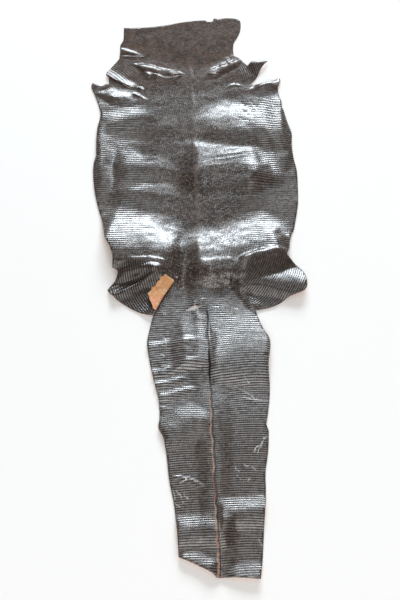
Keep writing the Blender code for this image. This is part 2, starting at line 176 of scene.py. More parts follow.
# Folds. Each has a crest from its start to its end, which bows to the left of that walk, falls away
# over a run on its left and one on its right, and fades in and out at its ends. Those that cross the
# hide go from left to right, so their left-hand side is towards the head. A crest that leans hangs
# over to its right by that much.
Fold = namedtuple(
    "Fold", "name start end bow height left_run right_run fade ends lean", defaults=(BLUNT, 0.0)
)
FOLDS = (
    Fold("neck edge, upper pucker", (-136, 906), (-76, 884), 0, 1.2, 7, 11, 30, TAPERED),
    Fold("left neck pleat", (-108, 868), (-12, 839), -5.0, 3.3, 12, 9, 30, POINTED, 3.0),
    Fold("left neck pleat, lower lip", (-92, 849), (-42, 829), 0, 2.2, 7, 16, 20, POINTED),
    Fold("right neck fold", (14, 830), (84, 869), -2.0, 3.6, 15, 10, 26, TAPERED, 2.0),
    Fold("right front leg", (88, 852), (132, 868), 0, 5.0, 12, 34, 16),
    Fold("right side flap, curled edge", (92, 799), (154, 822), -3.0, 5.6, 13, 26, 30),
    Fold("left armpit swell", (-170, 806), (-72, 784), -3.0, 3.0, 26, 18, 40, POINTED),
    Fold("left shoulder swell", (-176, 716), (-56, 756), 10.0, 3.0, 30, 22, 52),
    Fold("right shoulder swell", (-24, 727), (172, 690), 9.0, 6.8, 64, 42, 66),
    Fold("left rib fold, upper", (-142, 644), (-30, 638), 2.0, 2.7, 34, 26, 40),
    Fold("left rib fold, lower", (-128, 599), (-22, 578), 0, 2.7, 38, 26, 44),
    Fold("right rib swell, inner", (-36, 621), (122, 632), 0, 11.6, 106, 46, 46),
    Fold("right rib swell, outer", (50, 630), (146, 624), 0, 2.6, 34, 30, 40),
    Fold("right flank roll", (133, 798), (137, 626), 0, 3.6, 16, 25, 34),
    Fold("left flank roll", (-152, 744), (-152, 590), 0, 3.0, 18, 22, 40),
    Fold("left flank, inner roll", (-112, 706), (-123, 556), 0, 2.6, 34, 22, 50),
    Fold("left hip swell", (-196, 494), (-22, 442), 4.0, 17.6, 104, 38, 50),
    Fold("right hip swell", (-36, 442), (150, 488), -4.0, 14.6, 90, 34, 44),
    Fold("hip crease", (-60, 458), (56, 464), 0, 1.2, 12, 20, 24, POINTED),
    Fold("left hind leg, first fold", (-142, 440), (-54, 450), 5.0, 4.2, 12, 9, 20),
    Fold("left hind leg, second fold", (-152, 417), (-54, 451), -4.0, 4.8, 14, 19, 20),
    Fold("right hind leg, bulge", (46, 456), (134, 482), 7.0, 3.0, 9, 12, 24),
    Fold("right hind leg, lower fold", (30, 436), (168, 404), 3.0, 9.5, 44, 22, 30),
    Fold("right hind leg over the tail", (72, 380), (46, 428), 0, 3.4, 7, 15, 12),
    Fold("tail, spine ridge", (0, 470), (0, -20), 0, 2.8, 27, 27, 40),
    Fold("tail, upper right swell", (-10, 306), (104, 300), 0, 10.6, 84, 50, 28),
    Fold("tail, upper left swell", (-56, 308), (12, 310), 0, 7.0, 84, 22, 26),
    Fold("tail, middle left swell", (-84, 188), (2, 222), 0, 4.6, 34, 26, 24),
    Fold("tail ripple, first", (-106, 329), (-8, 340), 0, 2.2, 9, 9, 22, TAPERED),
    Fold("tail ripple, second", (-104, 282), (0, 304), 2.0, 3.0, 11, 9, 26, TAPERED),
    Fold("tail ripple, third", (-104, 268), (-24, 281), 0, 2.4, 8, 8, 20, TAPERED),
    Fold("tail ripple, fourth", (-102, 253), (-14, 263), 0, 2.4, 8, 9, 24, TAPERED),
    Fold("tail wave, left", (-70, 56), (28, 61), 0, 6.2, 31, 22, 22),
    Fold("tail wave, right", (-6, 80), (84, 84), 0, 6.2, 31, 24, 22),
    Fold("tail, lifted left corner", (-64, 30), (0, 3), 0, 5.4, 25, 12, 16),
    Fold("tail, lifted right corner", (2, -6), (70, -8), 0, 6.8, 34, 12, 20),
)

# Small folds, pleats and creases that lie on those. A crease has a negative height.
FINE_FOLDS = (
    Fold("spine crease", (-4, 862), (-4, 440), 0, 0.8, 5, 5, 30),
    Fold("neck edge, lower pucker", (-128, 886), (-72, 882), 0, 0.9, 4, 5, 22, POINTED),
    Fold("left pleat, second lip", (-56, 834), (-16, 838), -3.0, 1.8, 4, 4, 14, POINTED),
    Fold("left pleat, hook", (-73, 833), (-84, 848), 0, 1.6, 3.5, 3.5, 5),
    Fold("left pleat, second hook", (-60, 832), (-68, 842), 0, 1.4, 3, 3, 5),
    Fold("right gather, first", (49, 846), (50, 866), 0, 0.7, 3, 3, 6),
    Fold("right gather, second", (61, 853), (56, 878), 0, 0.8, 3.2, 3.2, 7),
    Fold("right gather, third", (67, 858), (64, 882), 0, 0.7, 2.8, 2.8, 7),
    Fold("right hook pleat", (22, 842), (48, 834), -1.5, 1.8, 3.2, 3.2, 7),
    Fold("right leg root, ridge", (56, 808), (80, 811), 5.0, 1.6, 4, 4, 7),
    Fold("armpit curl", (-96, 816), (-84, 802), 3.5, 2.0, 4, 4, 6),
    Fold("armpit ridge", (-101, 804), (-84, 788), 0, 1.8, 4, 4, 7),
    Fold("shoulder groove, first", (75, 779), (96, 747), 0, -1.4, 3.4, 3.4, 9),
    Fold("shoulder groove, second", (75, 759), (89, 741), 0, -1.0, 3, 3, 7),
    Fold("shoulder groove, third", (91, 781), (109, 744), 0, -1.0, 3, 3, 9),
    Fold("shoulder groove, fourth", (71, 741), (81, 729), 0, -0.6, 3, 3, 6),
    Fold("rib wrinkle, first", (14, 648), (82, 660), 1.5, 0.35, 4, 3, 26),
    Fold("rib wrinkle, second", (22, 661), (76, 669), -1.5, 0.25, 4, 3, 24),
    Fold("rib wrinkle, third", (6, 638), (62, 645), -1.0, 0.28, 4, 3, 24),
    Fold("rib wrinkle, fourth", (34, 671), (72, 676), 1.0, 0.2, 4, 3, 20),
    Fold("left shoulder crease", (-134, 722), (-100, 725), 0, 0.7, 4, 3, 10),
    Fold("left shoulder, second crease", (-138, 734), (-98, 737), 0, 0.8, 4, 3, 12),
    Fold("hind leg root, ridge", (-136, 461), (-48, 457), 13.0, 0.9, 4, 5, 24, POINTED),
    Fold("hind leg root, lower ridge", (-102, 466), (-46, 458), 3.0, 1.2, 4, 4, 16, POINTED),
    Fold("left hind leg, lit ridge", (-148, 410), (-62, 444), 2.0, 3.0, 5.5, 9, 16, POINTED),
    Fold("right leg root, arc", (60, 463), (122, 485), 9.0, 0.7, 4, 5, 20, POINTED),
    Fold("right star crease", (30, 444), (38, 426), 0, -1.6, 4, 4, 6),
    Fold("left star crease", (-40, 446), (-33, 424), 0, 1.8, 4, 4, 6),
    Fold("leg over the tail, upper arc", (32, 430), (54, 421), -2.0, 1.6, 4, 4, 6),
    Fold("leg over the tail, second arc", (34, 437), (58, 428), -2.0, 1.2, 4, 4, 6),
    Fold("hole, left wrinkle", (-14, 388), (-12, 366), 0, 1.2, 2.6, 2.6, 5),
    Fold("hole, right wrinkle", (-6, 392), (-2, 410), 0, 1.2, 2.6, 2.6, 5),
    Fold("hole, upper wrinkle", (-16, 396), (-15, 407), 0, 1.0, 2.4, 2.4, 4),
    Fold("tail groove", (0.5, 392), (0.5, 258), 0, -1.3, 2.6, 2.6, 14),
    Fold("tail groove, lower", (0.5, 262), (0.5, -6), 0, -0.9, 2.4, 2.4, 10),
    Fold("tail, diagonal fold", (-58, 139), (-12, 121), 3.0, 1.3, 4, 4, 10),
    Fold("tail edge, dent", (-76, 240), (-58, 236), 0, 1.0, 5, 5, 6),
)

# The scale rows of the opened tail arch between the spine and the edge, by this much.
TAIL_ARCH = 2.6
TAIL_HALF_WIDTH = 84.0
TAIL_ARCHED = Stretch(380, 320)
# Rows also wander a little, by this much over these lengths along and across the hide.
WANDER = 1.5
WANDER_ALONG = 61.0
WANDER_ACROSS = 27.0
WANDER_PHASE = 1.3

# Scales lie in clear cross rows on the flanks and on the tail, within these distances along the hide
# and from the spine.
FLANK_ROWS_FROM = Stretch(470, 500)
FLANK_ROWS_UP_TO = Stretch(812, 786)
RIGHT_FLANK_ROWS = Stretch(40, 120)
LEFT_FLANK_ROWS = Stretch(48, 128)
TAIL_ROWS_UP_TO = Stretch(430, 396)
TAIL_ROWS_WITHIN = Stretch(96, 86)

# Scales on the legs lie in rings round the leg or, on the front left leg, in diamonds: the middle of
# each field, its radius, the heading of the leg, the pitches along and across it, and how much the
# rows stand out.
LegScales = namedtuple("LegScales", "name middle radius heading pitch across_pitch relief")
LEG_SCALES = (
    LegScales("left front leg", (-124, 850), 32, 45, 4.0, 4.0, 0.3),
    LegScales("right front leg", (98, 846), 30, 15, 3.4, 3.0, 0.5),
    LegScales("left hind leg", (-104, 426), 50, 198, 3.5, 3.2, 1.0),
    LegScales("right hind leg", (104, 430), 54, -30, 3.2, 3.2, 0.8),
)
LEG_FADE = 12.0
# Scales of the cross rows are this long across the hide, in millimetres. The rings round a leg bow
# outward by the square of the distance from its middle line, divided by this length.
SCALE_LENGTH = 2.6
RING_BOW = 260.0

# Rows are kept sharp in the grooves this near a whole row, where they stand out this clearly.
GROOVE_TOLERANCE = 0.06
CLEAR_ROWS = 0.15
# Rows stand up by these shares of the row height on the body and on the tail. Where the skin has
# dried tight over them they stand up by more: along each of these crests its height is added to the
# share, and falls away from the crest as a fold's does.
ROW_RELIEF = Stretch(470, 430, 1.4, 1.6)
TIGHT_ROWS = (
    Fold("left of the groove", (-13, 420), (-7, 226), 0, 1.1, 12, 13, 40),
    Fold("right of the groove", (24, 424), (10, 220), 0, 1.2, 20, 26, 40),
    Fold("below the groove", (3, 250), (4, 20), 0, 0.5, 12, 12, 40),
    Fold("tail root, right", (-10, 364), (96, 368), 0, 0.8, 34, 30, 20),
    Fold("tail, middle left", (-76, 224), (0, 232), 0, 0.5, 30, 30, 14),
    Fold("tail, lower right", (0, 100), (76, 104), 0, 0.6, 18, 18, 14),
    Fold("tail, lower left", (-60, 80), (10, 84), 0, 0.6, 16, 16, 14),
    Fold("right flank, lit rows", (121, 800), (123, 622), 0, 1.8, 13, 13, 40),
    Fold("left flank, outer lit rows", (-155, 756), (-157, 640), 0, 1.8, 9, 9, 30),
    Fold("left flank, inner lit rows", (-126, 722), (-132, 590), 0, 1.8, 14, 12, 40),
)

# Unevenness: how large it is and over what length it changes, in millimetres.
Unevenness = namedtuple("Unevenness", "size length")

# How far the folds wander off their own lines, over long stretches and over short ones.
FOLD_WANDER = (Unevenness(2.6, 46.0), Unevenness(0.7, 13.0))

# Small rises of dried leather, which are longer across the hide than along it and lower on the neck.
# What dips further than this below their mean is level.
COCKLES = (Unevenness(0.32, 34.0), Unevenness(0.15, 15.0), Unevenness(0.06, 7.0))
COCKLE_STRETCH = 1.7
COCKLE_DIP = 0.15
COCKLED = Stretch(770, 880, 1.0, 0.3)
# Where the neck's duller skin begins.
NECK_SKIN = Stretch(770, 880)

# Lines on the grain side: from where to where, how wide, in millimetres, and how strong. Scuffs and
# creases wander off their own lines by up to this much.
Mark = namedtuple("Mark", "start end width strength")
MARK_WANDER = 3.5

# Scuffs, where the glaze is worn or cracked white.
SCUFFS = (
    Mark((44, 249), (78, 242), 1.1, 0.8),
    Mark((54, 170), (72, 190), 0.9, 0.6),
    Mark((60, 168), (66, 182), 0.8, 0.5),
    Mark((-62, 346), (-59, 332), 1.0, 0.6),
    Mark((-68, 322), (-62, 316), 1.0, 0.6),
    Mark((-52, 120), (-44, 112), 0.9, 0.5),
    Mark((-42, 116), (-36, 108), 0.9, 0.5),
    Mark((-46, 130), (-38, 136), 1.1, 0.7),
    Mark((28, 150), (32, 142), 0.8, 0.5),
    Mark((39, 152), (45, 150), 0.8, 0.5),
    Mark((50, 275), (54, 268), 0.8, 0.5),
    Mark((-12, 388.5), (-9, 376), 0.9, 0.9),
    Mark((32, 267), (50, 256), 0.6, 0.4),
    Mark((50, 256), (60, 248), 0.6, 0.4),
    Mark((50, 150), (54, 144), 0.6, 0.4),
    Mark((29, 138), (33, 132), 0.7, 0.5),
    Mark((42, 128), (48, 132), 0.7, 0.5),
    Mark((-68, 336), (-60, 330), 0.6, 0.4),
    Mark((-66, 352), (-60, 346), 0.6, 0.4),
    Mark((-56, 121), (-52, 108), 0.6, 0.4),
    Mark((-47, 116), (-43, 104), 0.6, 0.4),
    Mark((-54, 104), (-48, 98), 0.7, 0.5),
    Mark((52, 52), (56, 42), 0.6, 0.4),
)

# Creases that are too tight for light to reach into them.
CREASES = (
    Mark((75, 779), (96, 747), 1.7, 0.9),
    Mark((83, 780), (101, 751), 1.2, 0.6),
    Mark((75, 759), (89, 741), 1.4, 0.8),
    Mark((91, 781), (109, 744), 1.6, 0.8),
    Mark((71, 741), (81, 729), 1.2, 0.6),
    Mark((12, 655), (80, 666), 1.2, 0.5),
    Mark((24, 643), (66, 650), 1.1, 0.5),
)

# Pleats of the neck whose glaze has cracked into streaks, each as wide as the cracks reach. The
# streaks slant away from the spine by this angle, and are this long and this wide.
CRACKED_PLEATS = (
    Mark((-100, 866), (-16, 840), 22, 1.0),
    Mark((18, 834), (80, 868), 24, 1.0),
)
STREAK_SLANT = math.radians(24)
STREAK_SIZE = (13.0, 2.6)

# The tail's middle, in millimetres: a worn crack at this distance beside the spine, which bends by up
# to this much and is reddish for a stretch, a second crack beside its lower end, and painted shade in
# the tail's groove beside it, which is darkest above it.
CRACK_BEND = 1.2
CRACK_ASIDE = -1.5
CRACK_REACH = Stretch(0, 120, 1.8, 1.1)
CRACK_UP_TO = Stretch(264, 254)
SECOND_ASIDE = 2.9
SECOND_REACH = 0.7
SECOND_UP_TO = Stretch(100, 70)
SLOT_ASIDE = 1.0
SLOT_SIDES = Stretch(2.0, 1.0)
SLOT_UP_TO = Stretch(400, 380)
SLOT_STRENGTH = Stretch(240, 280, 0.6, 1.0)
RED_FROM = Stretch(96, 108)
RED_UP_TO = Stretch(146, 132)

# A painted sheen: a paler line along the spine, in the crown colour.
SPINE_SHEEN_ASIDE = -5.0
SPINE_SHEEN_SIDES = Stretch(4.5, 1.5)
SPINE_SHEEN_FROM = Stretch(430, 470)
SPINE_SHEEN_UP_TO = Stretch(880, 820)

# Where the crowns of the rows are painted paler, a painted highlight: on the tail and most at its root.
PALE_TAIL = Stretch(470, 400, 0.4, 0.5)
PALE_ROOT_FROM = Stretch(180, 250)
PALE_ROOT_UP_TO = Stretch(450, 410)
PALE_ROOT_GAIN = 0.3

# Small scales of the back: their length and width in millimetres, and how far they are set askew.
BACK_SCALE_SIZE = (3.6, 2.0)
BACK_SCALES_ASKEW = math.radians(8)
# How much single scales lean to one side, on the back and neck and in the cross rows.
BACK_LEAN = Stretch(640, 800, 1.7, 0.4)
ROW_LEAN = 0.2
# How deep the grooves between scales are, as shares of the scale relief: on the back, on the neck, in
# the rows, and between the rings of the legs.
BACK_GROOVES = 0.35
NECK_GROOVES = 0.1
ROW_GROOVES = 0.25
RING_GROOVES = 2.4

# The flesh side is pinker below this place, and its nap is longer along the hide.
PINK_BELOW = Stretch(414, 407)
NAP_STRETCH = 0.35

# The leather under the glaze, and the glaze. The leather's roughness goes from the first value to the
# second over small patches; wear and the painted shade in the tail's groove add to it. Depths are in metres.
LEATHER_IOR = 1.4
GLAZE_IOR = 1.9
GLAZE_ROUGHNESS = 0.25
LEATHER_ROUGHNESS = (0.17, 0.21)
SLOT_DULLS = 0.1
CRACKS_DULL = 0.4
WEAR_DULLS = 0.3
PORE_DEPTH = 0.00003
NAP_DEPTH = 0.0003

# The stage, in metres and radians.
FLOOR_SIZE = 5.0
FLOOR_DROP = 0.0002
DAYLIGHT = (0.86, 0.94, 1.0)
INDOOR_LIGHT = (1.0, 0.99, 0.975)
WINDOW_DISTANCE = 5.0
WINDOW_ASIDE = math.radians(8)
WINDOW_SIZE = (3.0, 1.6)
TOP_SIZE = (1.0, 1.3)
TOP_PLACE = (0.06, 0.75, 2.6)
FRONT_SIZE = (4.0, 4.0)
FRONT_PLACE = (0.0, -2.6, 2.6)


def smooth_step(values):
    """Rise from 0 to 1 with level ends, as the values go from 0 to 1."""
    clipped = np.clip(values, 0.0, 1.0)
    return clipped * clipped * (3.0 - 2.0 * clipped)


def smooth_ramp(values, start, end, before=0.0, after=1.0):
    """Go smoothly from before to after, as the values go from start to end."""
    return before + (after - before) * smooth_step((values - start) / (end - start))


def along_and_across(x, y, start, end, bow):
    """Share of the way from start to end, and distance to the left of the bowed line between them."""
    run_x = end[0] - start[0]
    run_y = end[1] - start[1]
    length = math.hypot(run_x, run_y)
    share = ((x - start[0]) * run_x + (y - start[1]) * run_y) / length**2
    across = ((y - start[1]) * run_x - (x - start[0]) * run_y) / length
    inside = np.clip(share, 0.0, 1.0)
    return share, across - 4.0 * bow * inside * (1.0 - inside)


def left_of(start, end):
    """The unit vector to the left of the walk from start to end."""
    length = math.dist(start, end)
    return np.array(((start[1] - end[1]) / length, (end[0] - start[0]) / length))


def fold_share(x, y, fold):
    """How much of one fold's height each point has."""
    share, across = along_and_across(x, y, fold.start, fold.end, fold.bow)
    length = math.dist(fold.start, fold.end)
    ends = smooth_step(share * length / fold.fade) * smooth_step((1.0 - share) * length / fold.fade)
    run = np.where(across > 0.0, fold.left_run, fold.right_run) * (fold.ends + (1.0 - fold.ends) * ends)
    return ends * np.clip(1.0 - (across / run) ** 2, 0.0, 1.0) ** 2


def lap_share(x, y, lap, opens_by):
    """How far a point goes with a slit's upper lip, which is free from a share of its length on."""
    share, across = along_and_across(x, y, lap.inner, lap.mouth, lap.bow)
    near_lip = smooth_step(1.0 + across / lap.reach) * (across < 0.0)
    opening = smooth_step(share / opens_by)
    past_mouth = smooth_step((PAST_MOUTH_END - share) / PAST_MOUTH_FADE)
    return near_lip * opening * past_mouth


def shake(x, y, length, seed):
    """A smooth uneven value between about -1 and 1, which changes over a length in millimetres."""
    pairs = zip(x / length, y / length)
    return 2.0 * np.array([noise.noise((across, along, seed)) for across, along in pairs])


def uneven(x, y):
    """Points moved a little, so that the folds made there are as uneven as a real hide's."""
    wide, fine = FOLD_WANDER
    moved_x = x + wide.size * shake(x, y, wide.length, 1.0) + fine.size * shake(x, y, fine.length, 2.0)
    moved_y = y + wide.size * shake(x, y, wide.length, 3.0) + fine.size * shake(x, y, fine.length, 4.0)
    return moved_x, moved_y


def surface(flat_x, flat_y):
    """Where points of the flat cut, in millimetres, come to lie in the folded hide."""
    x, y = uneven(flat_x, flat_y)
    pleats = shake(x, y, PLEAT_LENGTH, 5.0)
    height = np.zeros_like(x)
    move_x = np.zeros_like(x)
    move_y = np.zeros_like(x)
    for fold in FOLDS + FINE_FOLDS:
        share = fold_share(x, y, fold)
        if fold.ends == POINTED:
            share = share * np.clip(1.0 + PLEAT_UNEVEN * pleats, 0.0, 2.0)
        height = height + fold.height * share
        if fold.lean:
            over = left_of(fold.start, fold.end)
            move_x = move_x - fold.lean * share**2 * over[0]
            move_y = move_y - fold.lean * share**2 * over[1]
    height = np.maximum(height, 0.0)
    x, y = flat_x, flat_y
    for lap in LAPS.values():
        height = height + lap.lift * lap_share(x, y, lap, LIFTED_BY)
        moved = lap.overlap * lap_share(x, y, lap, ACROSS_BY)
        over = left_of(lap.inner, lap.mouth)
        move_x = move_x + moved * over[0]
        move_y = move_y + moved * over[1]
    return np.stack((x + move_x, y + move_y, height), axis=-1)


def row_drift(x, y):
    """How far a scale row lies above its own place on the spine, in millimetres."""
    inside = np.clip(np.abs(x) / TAIL_HALF_WIDTH, 0.0, 1.0)
    arch = TAIL_ARCH * np.sin(math.pi * inside) * smooth_ramp(y, *TAIL_ARCHED)
    wander = WANDER * np.sin(x / WANDER_ACROSS + WANDER_PHASE) * np.sin(y / WANDER_ALONG)
    return arch + wander


def row_count(band):
    """How many scale rows a band holds."""
    return round((band.end - band.start) / band.pitch)


def row_number(y):
    """The scale row at a place along the hide: a whole number in each groove between two rows."""
    places = [band.start for band in BANDS] + [BANDS[-1].end]
    counts = [row_count(band) for band in BANDS]
    return np.interp(y, places, np.concatenate(([0], np.cumsum(counts))))


def row_strength(x, y):
    """How clearly the scales lie in cross rows: on the tail and the flanks, not on the back or neck."""
    side = np.maximum(smooth_ramp(x, *RIGHT_FLANK_ROWS), smooth_ramp(-x, *LEFT_FLANK_ROWS))
    flank = side * smooth_ramp(y, *FLANK_ROWS_FROM) * smooth_ramp(y, *FLANK_ROWS_UP_TO)
    tail = smooth_ramp(y, *TAIL_ROWS_UP_TO) * smooth_ramp(np.abs(x), *TAIL_ROWS_WITHIN)
    return np.maximum(flank, tail)


def leg_strength(x, y, leg):
    """How far a point is in one leg's field of scales."""
    distance = np.hypot(x - leg.middle[0], y - leg.middle[1])
    return smooth_step((leg.radius - distance) / LEG_FADE)


def scale_places(x, y, row):
    """Where points lie among the scales, in scales across and rows along, and how clear the rows are."""
    across = x / SCALE_LENGTH
    along = row
    clear = row_strength(x, y)
    for leg in LEG_SCALES:
        share = leg_strength(x, y, leg)
        heading = math.radians(leg.heading)
        away_x = x - leg.middle[0]
        away_y = y - leg.middle[1]
        down = away_x * math.cos(heading) + away_y * math.sin(heading)
        round_leg = away_y * math.cos(heading) - away_x * math.sin(heading)
        down = down + round_leg**2 / RING_BOW
        inside = share > 0.0
        across = np.where(inside, round_leg / leg.across_pitch, across)
        along = np.where(inside, down / leg.pitch, along)
        clear = np.where(inside, share, clear * (1.0 - share))
    return across, along, clear


def curve_through(knots, step):
    """Points about a step apart on a smooth curve through the knots, without the last one."""
    knots = np.array(knots, dtype=float)
    knots = np.vstack((2 * knots[0] - knots[1], knots, 2 * knots[-1] - knots[-2]))
    found = []
    for before, start, end, after in zip(knots, knots[1:], knots[2:], knots[3:]):
        # Spacing by the root of each length keeps the curve from looping where knots are uneven.
        gaps = [math.dist(*pair) ** 0.5 for pair in ((before, start), (start, end), (end, after))]
        slope = (end - start) / gaps[1]
        leave = slope - (end - before) / (gaps[0] + gaps[1]) + (start - before) / gaps[0]
        arrive = slope - (after - start) / (gaps[1] + gaps[2]) + (after - end) / gaps[2]
        count = max(1, round(math.dist(start, end) / step))
        for index in range(count):
            t = index / count
            found.append(
                start * (2 * t**3 - 3 * t**2 + 1)
                + end * (3 * t**2 - 2 * t**3)
                + leave * gaps[1] * (t**3 - 2 * t**2 + t)
                + arrive * gaps[1] * (t**3 - t**2)
            )
    return found


def lip_point(lap, share, side):
    """A point of a slit's lip, on the left of the walk to the mouth where side is 1, else on its right."""
    across = 4.0 * lap.bow * share * (1.0 - share)
    across += 0.5 * side * lap.gap * min(1.0, 3.0 * share)
    straight = np.array(lap.inner) * (1.0 - share) + np.array(lap.mouth) * share
    return straight + left_of(lap.inner, lap.mouth) * across


def lap_outline(lap, step):
    """The slit's outline: in along the upper lip from the mouth, and out along the lower one."""
    count = round(math.dist(lap.inner, lap.mouth) / step)
    upper = [lip_point(lap, index / count, -1) for index in range(count, 0, -1)]
    lower = [lip_point(lap, index / count, 1) for index in range(count)]
    return upper + lower


def outline_points(stretches, step):
    """The corners and curve points of an outline, in millimetres."""
    points = []
    for name, shape in stretches:
        points += lap_outline(LAPS[shape], step) if name == "slit" else curve_through(shape, step)
    return points


def grid_places(low, high, pitch):
    """Evenly spaced places between two bounds, about a pitch apart, without the upper bound."""
    count = max(1, round((high - low) / pitch))
    return [low + (high - low) * index / count for index in range(count)]


def cut_across(bm, faces, place, axis):
    """Cut faces of the sheet along a line at a place on an axis, and return the faces after it."""
    point = [0.0, 0.0, 0.0]
    normal = [0.0, 0.0, 0.0]
    point[axis] = place
    normal[axis] = 1.0
    edges = {edge for face in faces for edge in face.edges}
    verts = {vert for face in faces for vert in face.verts}
    made = bmesh.ops.bisect_plane(
        bm, geom=[*verts, *edges, *faces], dist=SNAP, plane_co=point, plane_no=normal
    )
    return [item for item in made["geom"] if isinstance(item, bmesh.types.BMFace)]


def flat_sheet(body, tail):
    """The hide's flat cut, in millimetres, as a mesh of small faces with the hole left out."""
    bm = bmesh.new()
    # The body and the tail meet along a line through the hole, so that each is a plain outline.
    for loop in (body + [tail[0], *HOLE_UPPER], tail + [body[0], *HOLE_LOWER]):
        bm.faces.new([bm.verts.new((x, y - row_drift(x, y), 0.0)) for x, y in loop])
    bmesh.ops.remove_doubles(bm, verts=bm.verts[:], dist=0.001)
    rest = bm.faces[:]
    for band in BANDS:
        # Each scale row has a face on either side of its crown.
        half_row = 0.5 * (band.end - band.start) / row_count(band)
        for place in grid_places(band.start, band.end, half_row):
            rest = cut_across(bm, rest, place, 1)
            rest = [face for face in rest if max(vert.co.y for vert in face.verts) > place + SNAP]
    sideways = [x for x, _ in body]
    for band in BANDS:
        rest = [face for face in bm.faces if band.start < face.calc_center_median().y < band.end]
        for place in grid_places(min(sideways), max(sideways), band.column_pitch)[1:]:
            rest = cut_across(bm, rest, place, 0)
            rest = [face for face in rest if max(vert.co.x for vert in face.verts) > place + SNAP]
    for vert in bm.verts:
        vert.co.y += float(row_drift(vert.co.x, vert.co.y))
    many_sided = [face for face in bm.faces if len(face.verts) > 4]
    bmesh.ops.triangulate(bm, faces=many_sided, quad_method="BEAUTY", ngon_method="BEAUTY")
    return bm


def turned_edges(bm, lap):
    """The sheet's open edges along the part of a slit's upper lip that is turned back."""
    half_a_step = 0.5 * OUTLINE_STEP / math.dist(lap.inner, lap.mouth)
    chosen = []
    for edge in bm.edges:
        if not edge.is_boundary:
            continue
        ends = np.array([vert.co[:2] for vert in edge.verts])
        share, across = along_and_across(ends[:, 0], ends[:, 1], lap.inner, lap.mouth, lap.bow)
        on_lip = np.all(np.abs(across + 0.5 * lap.gap) < LIP_TOLERANCE * lap.gap)
        turned = np.all((share > TURNED_SHARES[0] - half_a_step) & (share < TURNED_SHARES[-1] + half_a_step))
        if on_lip and turned:
            chosen.append(edge)
    return chosen


def turn_lip_back(bm, lap, radius):
    """Extrude a slit's upper lip round and back over the leg.

    Returns, for each new vertex, the flat point whose height it takes, where it lies and its rise.
    """
    over = left_of(lap.inner, lap.mouth)
    edges = turned_edges(bm, lap)
    feet = {vert: np.array(vert.co[:2]) for edge in edges for vert in edge.verts}
    places = {}
    for step in range(1, TURN_STEPS + FLAP_STEPS + 1):
        angle = math.pi * min(step / TURN_STEPS, 1.0)
        back = max(step - TURN_STEPS, 0) / FLAP_STEPS
        made = bmesh.ops.extrude_edge_only(bm, edges=edges)["geom"]
        edges = [item for item in made if isinstance(item, bmesh.types.BMEdge)]
        ring = {}
        for vert in {vert for edge in edges for vert in edge.verts}:
            foot = min(feet.values(), key=lambda place: math.dist(place, vert.co[:2]))
            share, _ = along_and_across(foot[0], foot[1], lap.inner, lap.mouth, lap.bow)
            width = np.interp(share, TURNED_SHARES, TURNED_WIDTHS)
            width += FLAP_RAGGED * noise.noise((*(foot * RAGGED_FINENESS), 3.0))
            plan = foot + over * (radius * math.sin(angle) - width * back)
            rise = radius * (1.0 - math.cos(angle)) + FLAP_CURL * back**2
            rise += FLAP_RUFFLE * back * (1.0 + noise.noise((*(plan * RUFFLE_FINENESS), 9.0)))
            places[vert] = (foot if back == 0 else plan, plan, rise)
            ring[vert] = foot
        feet = ring
    return places


def store(mesh, name, values):
    """Keep numbers, or vectors, on the mesh's points."""
    kind, key = ("FLOAT_VECTOR", "vector") if values.ndim == 2 else ("FLOAT", "value")
    layer = mesh.attributes.new(name, kind, "POINT")
    layer.data.foreach_set(key, np.ascontiguousarray(values, dtype=np.float32).ravel())


def read(mesh, name):
    """Numbers kept on the mesh's points."""
    values = np.empty(len(mesh.vertices), dtype=np.float32)
    mesh.attributes[name].data.foreach_get("value", values)
    return values


def cockle(x, y):
    """Small rises of dried leather, in millimetres."""
    found = sum(rise.size * shake(x / COCKLE_STRETCH, y, rise.length, rise.length) for rise in COCKLES)
    return np.maximum(found + COCKLE_DIP, 0.0) * smooth_ramp(y, *COCKLED)


def edge_distance(flat, outline):
    """How far points lie from the outline, in millimetres."""
    tree = kdtree.KDTree(len(outline))
    for index, (x, y) in enumerate(outline):
        tree.insert((x, y, 0.0), index)
    tree.balance()
    return np.array([tree.find((x, y, 0.0))[2] for x, y in flat])


def folded_mesh(sizes):
    """The folded sheet as a mesh of its middle surface, in metres, with what is kept on its points."""
    body = outline_points(BODY_OUTLINE, OUTLINE_STEP)
    tail = outline_points(TAIL_OUTLINE, OUTLINE_STEP)
    outline = np.array(body + tail)
    centre = 0.5 * (outline.min(axis=0) + outline.max(axis=0))
    bm = flat_sheet(body, tail)
    turned = turn_lip_back(bm, LAPS[TURNED_LAP], sizes.turn_radius / MM)
    bm.verts.ensure_lookup_table()
    flat = np.array([vert.co[:2] for vert in bm.verts])
    look_at = flat.copy()
    plan = np.full(flat.shape, np.nan)
    rise = np.zeros(len(flat))
    for vert, (at, lies, up) in turned.items():
        look_at[vert.index] = at
        plan[vert.index] = lies
        rise[vert.index] = up
    place = surface(look_at[:, 0], look_at[:, 1])
    is_turned = ~np.isnan(plan[:, 0])
    place[is_turned, :2] = plan[is_turned]
    place[:, 2] += rise + cockle(look_at[:, 0], look_at[:, 1])
    place[:, :2] -= centre
    place[:, 2] += 0.5 * sizes.thickness / MM
    for vert, co in zip(bm.verts, place * MM):
        vert.co = co
    mesh = bpy.data.meshes.new("hide")
    bm.to_mesh(mesh)
    bm.free()
    keep_on_points(mesh, look_at, rise, is_turned, outline)
    return mesh


